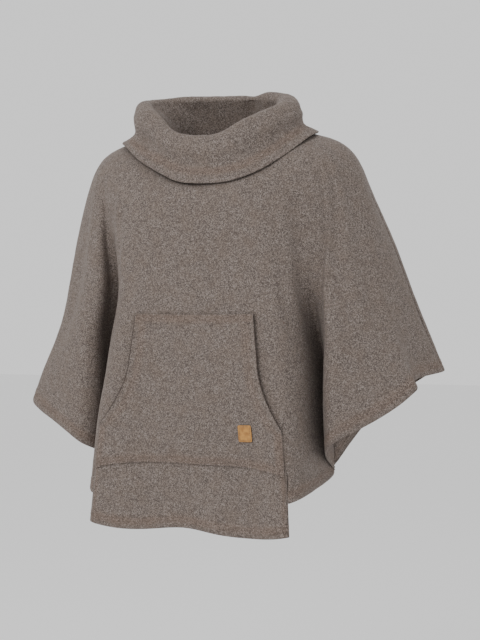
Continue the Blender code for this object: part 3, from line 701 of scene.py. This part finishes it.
def back_relief(girth, drop):
    height = felt_height(girth, drop, 31) + crease_height(girth, drop, BACK_CREASES) + seam_dip(girth)
    return height + sewn_edge(hem_distance(girth, drop, SIDE_HEM), girth, HEM_TURN, HEM_ROWS, 33)


def make_back():
    half = np.append(np.arange(ARM_SEAM + SEAM_GAP / 2, HALF_GIRTH, BACK_STEP), HALF_GIRTH)
    girths = list(half) + [-girth for girth in half[-2::-1]]
    places, numbers = [], []
    for girth in girths:
        hem = float(hem_drop([girth], SIDE_HEM)[0])
        first = len(places)
        places += [(girth, drop) for drop in rows_down(vent_line(girth), hem)]
        numbers.append(list(range(first, len(places))))
    girth, drop = (np.array(values, float) for values in zip(*places))
    tint = stitched_tint(hem_distance(girth, drop, SIDE_HEM), HEM_ROWS)
    points = cloth(girth, drop, back_relief(girth, drop))
    return cloth_piece("poncho_back", points, grid_faces(numbers), tint, FELT, WALL)


back = make_back()
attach(back, "root")
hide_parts("back", "left_wing_back", "right_wing_back")
back_runs = []
for row in HEM_ROWS:
    for sign in (-1, 1):
        back_runs.append(hem_run(sign * (ARM_SEAM + 3), sign * HALF_GIRTH, row, SIDE_HEM, back_relief))
back_stitching = stitch_runs("back_stitching", back_runs)

# The collar: a tall ring of the same felt, sewn to the neckline, standing up around the neck and folded over
# on itself. Its free edge is turned once and sewn with two rows.

# By direction, in degrees from the front to the wearer's left: level of the rim, level of the free edge, how
# far that edge is set back, radius of the roll along the rim, and the share of the fall that drops straight
Collar = namedtuple("Collar", "direction rim_z edge_z set_back roll belly")
COLLAR = [Collar(*row) for row in (
    (-180, 88, -3, 0, 11, 0.60), (-140, 88, 4, 0, 11, 0.60), (-100, 77, 4, 3, 13, 0.75),
    (-70, 67, -6, 12, 16, 0.95), (-52, 52, -20, 21, 16, 0.90), (-36, 33, -46, 21, 15, 0.75),
    (-22, 9, -67, 17, 13, 0.65), (-9, -3, -86, 10, 11, 0.60), (5, -7, -92, 6, 11, 0.60),
    (19, -1, -90, 4, 11, 0.60), (31, 15, -80, 2, 12, 0.60), (44, 30, -62, 0, 13, 0.60),
    (59, 42, -36, 1, 15, 0.65), (76, 55, -10, 4, 18, 0.70), (100, 70, 7, 4, 22, 0.70),
    (125, 81, 8, 0, 18, 0.65), (155, 87, 2, 0, 12, 0.60),
)]
SIDE_STEP = 0.4  # the edge moves this much sideways for what it is set back
RIM_HALF_WIDTH = 155.0
RIM_HALF_DEPTH = 106.0
RIM_MIDDLE_Y = -38.0
EDGE_HALF_WIDTH = 188.0
EDGE_HALF_DEPTH = 129.0
EDGE_MIDDLE_Y = -28.0
STAND_LIFT = 1.0
STAND_BELLY = np.array([0.38, 0.38, 0.60])
COLLAR_COLUMNS = 252
STAND_ROWS = 26
ROLL_ROWS = 10
FALL_ROWS = 30  # rows of points down to the turned edge
RIM_ENDS = (0.85, 1.15)  # places across the collar where the roll along the rim starts and ends
NECK_POINTS = 721
COLLAR_WAVE = 0.8  # its broad unevenness
COLLAR_FELT = (3.0, 120.0)  # millimetres of felt for a degree around and for one step across
FAR = 999.0  # distance from the edge that the rows above the fall are given
COLLAR_TURN = 27.0
COLLAR_ROWS = (19.0, 25.0)
NEAR_EDGE = (0, 0.8, 2, 4, 7, 10.5, 14, 17, 18.2, 19.4, 20.8, 22.2, 23.6, 25, 26.4, 28, 31)


def around(directions, column):
    """A column of the collar's table at these directions, on a smooth closed line."""
    turns = [-360, 0, 360]
    x = np.array([row.direction + turn for turn in turns for row in COLLAR], float)
    return smooth_line(x, [getattr(row, column) for turn in turns for row in COLLAR], directions)


def neckline(directions):
    """Points of the neckline in these directions, seen from the middle of the neck opening."""
    girths = np.linspace(-HALF_GIRTH, HALF_GIRTH, NECK_POINTS)
    ring = cloth(girths, np.zeros(len(girths)))
    seen = np.degrees(np.arctan2(ring[:, 0], RIM_MIDDLE_Y / 2 - ring[:, 1]))
    seen[0], seen[-1] = -180, 180
    order = np.argsort(seen)
    return np.stack([np.interp(directions, seen[order], ring[order, axis]) for axis in range(3)], axis=1)


# Folds of the collar: direction, place across it from the neckline (0) over the rim (1) to the free edge
# (2), how far the fold leans, its length and half width in shares and degrees, and its height
Pleat = namedtuple("Pleat", "direction across lean length half_width height")
PLEATS = [Pleat(*row) for row in (
    (147, 0.60, 2.0, 0.90, 9, 6.0), (100, 0.45, -4.0, 0.72, 7, -4.0), (165, 0.60, 0.0, 0.86, 6, -6.0),
    (-122, 0.42, 5.0, 0.70, 10, 3.2), (-145, 0.45, -4.0, 0.70, 9, -2.8), (122, 0.55, -3.0, 0.7, 8, -3.5),
    (-86, 0.50, 3.0, 0.60, 9, 2.6), (64, 0.56, -6.0, 0.55, 8, 2.4), (-52, 1.42, -9.0, 0.80, 9, 3.4),
    (-34, 1.40, -8.0, 0.80, 8, -2.8), (-72, 1.50, -6.0, 0.7, 9, -2.4), (50, 1.46, 8.0, 0.80, 9, -2.6),
    (68, 1.46, 9.0, 0.80, 10, 2.6), (30, 1.52, 6.0, 0.60, 9, 2.0), (110, 1.5, 5.0, 0.7, 10, -2.2),
    (-110, 1.5, -5.0, 0.7, 10, 2.2), (150, 1.5, 3.0, 0.7, 11, 2.2), (-155, 1.5, -3.0, 0.7, 11, -2.2),
    (178, 1.46, 0.0, 0.7, 10, -1.8),
)]
TROUGH = -3.6  # the soft trough that runs round the fall, over the turned edge
TROUGH_AT = 1.62
TROUGH_HALF = 0.11
FULL = 6.5  # how far the fall swells out above the trough
FULL_AT = 1.31
FULL_HALF = 0.17


def pleat_height(direction, across):
    height = np.zeros(len(direction))
    for pleat in PLEATS:
        middle = pleat.direction + pleat.lean * (across - pleat.across) / 0.5
        off = (direction - middle + 180) % 360 - 180
        reach = np.exp(-(2 * (across - pleat.across) / pleat.length) ** 4)
        height += pleat.height * np.exp(-(off / pleat.half_width) ** 2) * reach
    front_share = 0.45 + 0.55 * np.exp(-(np.abs(direction) / 80) ** 2)
    wander = 0.05 * np.sin(np.radians(direction) * 3 + 0.6)
    height += TROUGH * front_share * np.exp(-((across - TROUGH_AT - wander) / TROUGH_HALF) ** 2)
    return height + FULL * np.exp(-((across - FULL_AT - wander) / FULL_HALF) ** 2)


def bow(part, start, bend, end):
    """A line from start to end that is drawn towards bend."""
    return (1 - part) ** 2 * start + 2 * part * (1 - part) * bend + part ** 2 * end


def collar_grid(directions):
    """Points up the stand, over the rim and down the fall, with their places across and from the edge."""
    angle = np.radians(directions)
    out = np.stack([np.sin(angle), -np.cos(angle), np.zeros(len(angle))], axis=1)
    up = np.array([0, 0, 1.0])
    rim_z, edge_z, set_back, roll, belly = (around(directions, name) for name in Collar._fields[1:])
    centre = np.stack([(RIM_HALF_WIDTH - roll) * out[:, 0],
                       RIM_MIDDLE_Y + (RIM_HALF_DEPTH - roll) * out[:, 1], rim_z - roll], axis=1)
    roll, belly = roll[:, None], belly[:, None]
    edge = np.stack([EDGE_HALF_WIDTH * out[:, 0] - SIDE_STEP * set_back,
                     EDGE_MIDDLE_Y + EDGE_HALF_DEPTH * out[:, 1] + set_back, edge_z], axis=1)
    start = neckline(directions) - out * (WALL + SEAM_GAP) + up * STAND_LIFT
    inner, outer = centre - out * roll, centre + out * roll
    stand_parts = np.linspace(0, 1, STAND_ROWS + 1)[:-1]
    roll_parts = np.linspace(0, 1, ROLL_ROWS + 1)
    rows = [bow(part, start, start + (inner - start) * STAND_BELLY, inner) for part in stand_parts]
    for turn in math.pi * (1 - roll_parts):
        rows.append(centre + roll * (math.cos(turn) * out + math.sin(turn) * up))
    rim = RIM_ENDS[0] + (RIM_ENDS[1] - RIM_ENDS[0]) * roll_parts
    above = np.concatenate([RIM_ENDS[0] * stand_parts, rim])
    fine = np.linspace(0, 1, 200)[:, None, None]
    fall = bow(fine, outer, outer - up * belly * (outer[:, 2:] - edge[:, 2:]), edge)
    length = np.concatenate([np.zeros((1, len(directions))),
                             np.cumsum(np.linalg.norm(np.diff(fall, axis=0), axis=2), axis=0)])
    total = length[-1]
    down = np.concatenate([np.linspace(0, total - NEAR_EDGE[-1], FALL_ROWS + 1)[1:],
                           total - np.array(NEAR_EDGE[-2::-1])[:, None]])
    from_edge = total - down
    falls = np.array([[np.interp(down[:, column], length[:, column], fall[:, column, axis])
                       for axis in range(3)] for column in range(len(directions))]).transpose(2, 0, 1)
    across = np.concatenate([np.repeat(above[:, None], len(directions), axis=1),
                             2 - (2 - RIM_ENDS[1]) * from_edge / total])
    far_rows = np.full((len(above), len(directions)), FAR)
    return np.concatenate([rows, falls]), across, np.concatenate([far_rows, from_edge])


def make_collar():
    directions = np.linspace(-180, 180, COLLAR_COLUMNS, endpoint=False)
    rows, across, from_edge = collar_grid(directions)
    normal = np.cross(np.gradient(rows, axis=0), np.roll(rows, -1, axis=1) - np.roll(rows, 1, axis=1))
    normal /= np.linalg.norm(normal, axis=2)[..., None]
    direction = np.broadcast_to(directions, across.shape).ravel()
    girth, down = direction * COLLAR_FELT[0], across.ravel() * COLLAR_FELT[1]
    height = pleat_height(direction, across.ravel()) + COLLAR_WAVE * soft_noise(girth, down, 46, 52, 41)
    height += FELT_LUMP * soft_noise(girth, down, 9, 9, 42)
    height *= smooth_step(across.ravel() / 0.12)
    height += sewn_edge(from_edge.ravel(), girth, COLLAR_TURN, COLLAR_ROWS, 43)
    points = rows + normal * height.reshape(across.shape)[..., None]
    numbers = np.arange(across.size).reshape(across.shape).T
    faces = grid_faces(np.concatenate([numbers, numbers[:1]]).tolist())
    tint = stitched_tint(from_edge.ravel(), COLLAR_ROWS)
    piece = cloth_piece("poncho_collar", points.reshape(-1, 3), faces, tint, FELT, WALL)
    near = slice(-len(NEAR_EDGE), None)
    ring = list(range(len(directions))) + [0]
    runs = []
    for row in COLLAR_ROWS:
        line, normals = (
            np.array([[np.interp(-row, -from_edge[near, column], values[near, column, axis])
                       for axis in range(3)] for column in ring]) for values in (points, normal))
        runs.append((line + normals * STITCH_LIES, normals))
    return piece, stitch_runs("collar_stitching", runs)


collar, collar_stitching = make_collar()
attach(collar, "root")
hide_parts("collar_front", "collar_back")

# The pocket: one patch of the same felt laid on the front, with curved openings for the hands at both sides.
# It is sewn down with two rows along its top, its foot and the short sides below the openings.
POCKET_TOP = 321.0  # drop of its top edge
POCKET_FOOT = 580.0
POCKET_TOP_HALF = 122.0  # half its width at the top
POCKET_TOP_SHIFT = 6.0  # how far the top lies off centre
POCKET_MOUTH_FOOT = 508.0  # drop where the openings end
POCKET_SIDE = 160.0  # half its width below the openings
POCKET_GAP = 0.9  # between the front and the pocket
POCKET_GAPE = 2.2  # how far the openings stand off
POCKET_SAG = 16.0  # how much lower the lower corners lie
MOUTH_BEND = 405.0  # drop where the opening starts to curve out
MOUTH_POWER = 2.0
POCKET_STEP = 3.4
POCKET_TURN = 13.0
POCKET_ROWS_SEWN = (4.5, 10.5)
MOUTH_TURN = 24.0
MOUTH_ROWS = (14.5, 20.5)
MOUTH_LIP = 1.4  # how far the edge of an opening stands up
MOUTH_LIP_WIDTH = 8.0
MOUTH_SHADE_WIDTH = 1.7  # width of the painted shade along its edge
MOUTH_TINT = 0.7  # how much of the thread's tint its rows have
FOOT_SINK = 1.2  # how far the foot is pulled down into the felt by its two rows
POCKET_SHARE = 0.6  # how much of the front's creases shows through the pocket


def pocket_girth(part, drop):
    """Girth of a part of the pocket's half width: straight at the top, then curved along the mouth."""
    curve = np.clip((drop - MOUTH_BEND) / (POCKET_MOUTH_FOOT - MOUTH_BEND), 0, 1) ** MOUTH_POWER
    half = POCKET_TOP_HALF + (POCKET_SIDE - POCKET_TOP_HALF) * curve
    return part * half + POCKET_TOP_SHIFT * (1 - curve)


def pocket_place(part, drop):
    """Girth, drop and height of a point of the pocket's plain form."""
    down = (drop - POCKET_TOP) / (POCKET_FOOT - POCKET_TOP)
    open_share = np.clip((drop - POCKET_TOP) / (POCKET_MOUTH_FOOT - POCKET_TOP), 0, 1)
    gape = POCKET_GAPE * np.abs(part) ** 6 * np.sin(math.pi * open_share)
    return pocket_girth(part, drop), drop + POCKET_SAG * part ** 4 * down ** 2, POCKET_GAP + WALL + gape


def side_stretch(edge, drop):
    """How much longer the pocket's side edge is than its height, where it slants."""
    slope = (pocket_girth(edge, drop + PROBE / 2) - pocket_girth(edge, drop - PROBE / 2)) / PROBE
    return np.sqrt(1 + slope ** 2)


def side_distance(part, drop):
    """Distance in from the pocket's side edge, square to it."""
    edge = np.sign(part) * 1.0
    return np.abs(pocket_girth(edge, drop) - pocket_girth(part, drop)) / side_stretch(edge, drop)


def below_mouth(drop):
    return smooth_step((drop - POCKET_MOUTH_FOOT) / 8)


def pocket_relief(part, drop):
    """Height of the pocket's face over its plain form."""
    girth, low, _ = pocket_place(part, drop)
    height = POCKET_SHARE * (felt_height(girth, low, 51) + crease_height(girth, low, FRONT_CREASES))
    below, side = below_mouth(drop), side_distance(part, drop)
    height += sewn_edge(drop - POCKET_TOP, girth, POCKET_TURN, POCKET_ROWS_SEWN, 53)
    height += sewn_edge(POCKET_FOOT - drop, girth, POCKET_TURN, POCKET_ROWS_SEWN, 54)
    height += below * sewn_edge(side, drop, POCKET_TURN, POCKET_ROWS_SEWN, 55)
    height += (1 - below) * sewn_edge(side, drop, MOUTH_TURN, MOUTH_ROWS, 56)
    height += (1 - below) * MOUTH_LIP * (1 - smooth_step(side / MOUTH_LIP_WIDTH))
    return height - FOOT_SINK * (1 - smooth_step((POCKET_FOOT - drop) / POCKET_TURN))


def pocket_thread_and_shade(part, drop):
    below, side = below_mouth(drop), side_distance(part, drop)
    sewn = np.max([stitched_tint(drop - POCKET_TOP, POCKET_ROWS_SEWN),
                   stitched_tint(POCKET_FOOT - drop, POCKET_ROWS_SEWN),
                   below * stitched_tint(side, POCKET_ROWS_SEWN),
                   MOUTH_TINT * (1 - below) * stitched_tint(side, MOUTH_ROWS)], axis=0)
    # Painted shade along the openings' edges, stored below zero.
    painted_shade = (1 - below) * (1 - smooth_step((side - MOUTH_SHADE_WIDTH / 2) / MOUTH_SHADE_WIDTH))
    return np.where(painted_shade > 0, -painted_shade, sewn)


def near_both_ends(start, end, near, step):
    """Places from start to end, close together near both ends."""
    middle = np.arange(near[-1] + step, (end - start) / 2, step)
    half = np.concatenate([near, middle])
    return np.concatenate([start + half, end - half[::-1]])


NEAR_SEWN = (0, 0.8, 2.0, 3.2, 4.5, 5.8, 7.5, 9.2, 10.5, 11.8, 13.5)
NEAR_MOUTH = (*NEAR_SEWN[:-1], 12.6, 14.5, 16.5, 18.6)


def pocket_face(part, drop):
    girth, low, height = pocket_place(part, drop)
    return cloth(girth, low, height + pocket_relief(part, drop))


def make_pocket():
    parts = near_both_ends(-POCKET_TOP_HALF, POCKET_TOP_HALF, np.array(NEAR_MOUTH), POCKET_STEP)
    parts /= POCKET_TOP_HALF
    drops = near_both_ends(POCKET_TOP, POCKET_FOOT, np.array(NEAR_SEWN), POCKET_STEP)
    part, drop = (grid.ravel() for grid in np.meshgrid(parts, drops, indexing="ij"))
    faces = grid_faces(np.arange(len(part)).reshape(len(parts), len(drops)).tolist())
    return cloth_piece("poncho_pocket", pocket_face(part, drop), faces, pocket_thread_and_shade(part, drop), FELT, WALL)


def pocket_run(part, drop):
    """A row of stitches on the pocket, from places along it."""
    normals = face_normal(*pocket_place(part, drop)[:2])
    return pocket_face(part, drop) + STITCH_LIES * normals, normals


def part_in_from_edge(sign, drop, distance):
    """Part of the pocket's half width that lies this far in from its side edge, square to it."""
    edge = np.full(len(drop), float(sign))
    half = np.abs(pocket_girth(edge, drop) - pocket_girth(edge * 0, drop))
    return sign * (1 - distance * side_stretch(edge, drop) / half)


pocket = make_pocket()
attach(pocket, "root")
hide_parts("pocket")
pocket_runs = []
for row in POCKET_ROWS_SEWN:
    for level in (POCKET_TOP + row, POCKET_FOOT - row):
        across = np.linspace(-1, 1, 90) * (1 - 3.5 / POCKET_TOP_HALF)
        pocket_runs.append(pocket_run(across, np.full(90, level)))
    for sign in (-1, 1):
        level = np.linspace(POCKET_MOUTH_FOOT + 3, POCKET_FOOT - 3, 24)
        pocket_runs.append(pocket_run(part_in_from_edge(sign, level, row), level))
for row in MOUTH_ROWS:
    for sign in (-1, 1):
        level = np.linspace(POCKET_TOP + 2, POCKET_MOUTH_FOOT + 6, 60)
        pocket_runs.append(pocket_run(part_in_from_edge(sign, level, row), level))
pocket_stitching = stitch_runs("pocket_stitching", pocket_runs)

# The label: a small bare patch of tan leather with rounded corners, sewn on the pocket with one row close to
# its edge. The leather is thick.
LABEL_GIRTH = 100.0
LABEL_DROP = 523.5
LABEL_WIDTH = 20.5
LABEL_HEIGHT = 28.5
LABEL_THICK = 1.3
LABEL_TILT = math.radians(2)
LABEL_CORNER = 2.6
LABEL_LIFT = 0.9  # over the pocket's face, where the nap holds it up
LABEL_COLUMNS = 23
LABEL_LINES = 30
LABEL_CROWD = 1.25  # how much closer the points lie at its edge
LABEL_BULGE = 0.5
LABEL_ROW = 2.3
LEATHER_LIGHT = (0.46, 0.225, 0.050, 1)
LEATHER_DEEP = (0.30, 0.130, 0.026, 1)
LEATHER_GRAIN = {"Strength": 0.35, "Distance": 0.0003}


def leather_material():
    material, tree, shader = new_material("tan_leather")
    place = add_node(tree, "TexCoord", "Object", {})
    grain = add_node(tree, "TexVoronoi", "Distance", {"Scale": 1400, "Vector": place})
    cloud = add_node(tree, "TexNoise", "Fac", {"Scale": 160, "Detail": 4, "Vector": place})
    colour = add_ramp(tree, cloud, [(0.32, LEATHER_DEEP), (0.62, LEATHER_LIGHT)])
    bump = add_node(tree, "Bump", "Normal", {**LEATHER_GRAIN, "Height": grain})
    set_inputs(tree, shader, {"Base Color": colour, "Roughness": 0.55, "Normal": bump})
    return material


LEATHER = leather_material()


def label_corner(across, down):
    """Pull the points of a square patch in to rounded corners."""
    half = np.array([[LABEL_WIDTH], [LABEL_HEIGHT]]) / 2
    inner = half - LABEL_CORNER
    place = np.stack([across, down]) * half
    over = np.maximum(np.abs(place) - inner, 0)
    keep = over.max(axis=0) / np.maximum(np.hypot(*over), 1e-9)
    return np.sign(place) * (np.minimum(np.abs(place), inner) + over * keep)


def label_face(x, y, rise):
    """A place on the label, which lies over the middle of the pocket's own face like a stiff patch."""
    girth = LABEL_GIRTH + x * math.cos(LABEL_TILT) + y * math.sin(LABEL_TILT)
    drop = LABEL_DROP + y * math.cos(LABEL_TILT) - x * math.sin(LABEL_TILT)
    return cloth(girth, drop, POCKET_GAP + WALL + LABEL_LIFT + LABEL_THICK + rise), face_normal(girth, drop)


def make_label():
    across, down = (np.sin(np.linspace(-1, 1, count) * LABEL_CROWD) / math.sin(LABEL_CROWD)
                    for count in (LABEL_COLUMNS, LABEL_LINES))
    x, y = label_corner(*(grid.ravel() for grid in np.meshgrid(across, down, indexing="ij")))
    edge = np.minimum(LABEL_WIDTH / 2 - np.abs(x), LABEL_HEIGHT / 2 - np.abs(y))
    rise = LABEL_BULGE * smooth_step(edge / 4) - 0.4 * (1 - smooth_step(edge / 0.8))
    rise = rise - 0.35 * np.exp(-((edge - LABEL_ROW) / 0.7) ** 2)
    faces = grid_faces(np.arange(len(x)).reshape(LABEL_COLUMNS, LABEL_LINES).tolist())
    points, _ = label_face(x, y, rise)
    return cloth_piece("leather_label", points, faces, np.zeros(len(x)), LEATHER, LABEL_THICK)


label = make_label()
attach(label, "root")
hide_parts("label")
corners = np.array([(-1, -1), (-1, 1), (1, 1), (1, -1), (-1, -1)], float)
steps = np.linspace(0, 4, 45)
label_line = np.stack([np.interp(steps, range(5), corners[:, axis]) for axis in (0, 1)], axis=1)
label_line *= np.array([LABEL_WIDTH, LABEL_HEIGHT]) / 2 - LABEL_ROW
label_points, label_normals = label_face(*label_line.T, 0.25)
label_stitching = stitch_runs("label_stitching", [(label_points, label_normals)])

# Bar tacks: short dense bars of the same thread that close the seam at the top of each side fold, where the
# sewn fold would tear first.
TACK_LENGTH = 20.0
TACK_STITCHES = 9
TACK_DROP = 338.0
TACK_GIRTH = 196.0
TACK_PITCH = 0.62
TACK_ACROSS, TACK_DOWN = 0.92, 0.38

along_tack = np.linspace(-TACK_LENGTH / 2, TACK_LENGTH / 2, 8)
tack_runs = []
for sign in (-1, 1):
    tack_girth = sign * (TACK_GIRTH + along_tack * TACK_ACROSS)
    for bar in range(TACK_STITCHES):
        tack_drop = TACK_DROP + (bar - TACK_STITCHES / 2) * TACK_PITCH + along_tack * TACK_DOWN
        tack_runs.append(cloth_run(tack_girth, tack_drop, front_relief(tack_girth, tack_drop, False)))
stitch_runs("bar_tacks", tack_runs)

# The studio: a wide pale floor far below the held garment, a white world and large soft lights, as a picture
# for a catalogue is taken.
FLOOR_LEVEL = -1350
FLOOR_HALF = 14000
FLOOR_CORNERS = [(FLOOR_HALF * x, FLOOR_HALF * y, FLOOR_LEVEL)
                 for x, y in ((-1, -1), (1, -1), (1, 1), (-1, 1))]
CAMERA_TURN = 22  # degrees
CAMERA_RISE = 1
CAMERA_FAR = 2.6
LENS = 79.05
AIM_LEVEL = -0.333
AIM_RIGHT = 0.02775  # how far to the right of the middle the camera aims
# Name, the direction it shines from (azimuth, elevation), distance, size and power
Light = namedtuple("Light", "name azimuth elevation far size power")
LIGHTS = [
    Light("key", -12, 32, 3.2, 1.8, 38.5),
    Light("left_fill", 300, 14, 3.6, 2.4, 2.5),
    Light("top", 190, 76, 3.0, 2.2, 11),
]


def stand_at(thing, aim, azimuth, elevation, far):
    """Place a light or camera in this direction from what it aims at, in degrees, and turn it there."""
    azimuth, elevation = math.radians(azimuth), math.radians(elevation)
    toward = Vector((math.sin(azimuth) * math.cos(elevation), -math.cos(azimuth) * math.cos(elevation),
                     math.sin(elevation)))
    thing.location = aim + toward * far
    thing.rotation_euler = (-toward).to_track_quat("-Z", "Y").to_euler()


pale, pale_tree, pale_shader = new_material("studio_white")
set_inputs(pale_tree, pale_shader, {"Base Color": (0.90, 0.90, 0.90, 1), "Roughness": 0.9})
floor = add_mesh("floor", FLOOR_CORNERS, [(0, 1, 2, 3)], pale)

scene = bpy.context.scene
scene.world = scene.world or bpy.data.worlds.new("studio")
scene.world.use_nodes = True
world_tree = scene.world.node_tree
set_inputs(world_tree, world_tree.nodes["Background"], {"Color": (1, 1, 1, 1), "Strength": 1.0})

middle = Vector((0, 0, AIM_LEVEL))
for light in LIGHTS:
    data = bpy.data.lights.new(light.name, "AREA")
    data.shape = "SQUARE"
    data.size = light.size
    data.energy = light.power
    stand_at(add_object(light.name, data), middle, light.azimuth, light.elevation, light.far)

turn = math.radians(CAMERA_TURN)
camera_data = bpy.data.cameras.new("camera")
camera_data.lens = LENS
camera_data.sensor_width = 36
camera = add_object("camera", camera_data)
aim = middle + Vector((math.cos(turn), math.sin(turn), 0)) * AIM_RIGHT
stand_at(camera, aim, CAMERA_TURN, CAMERA_RISE, CAMERA_FAR)
scene.camera = camera
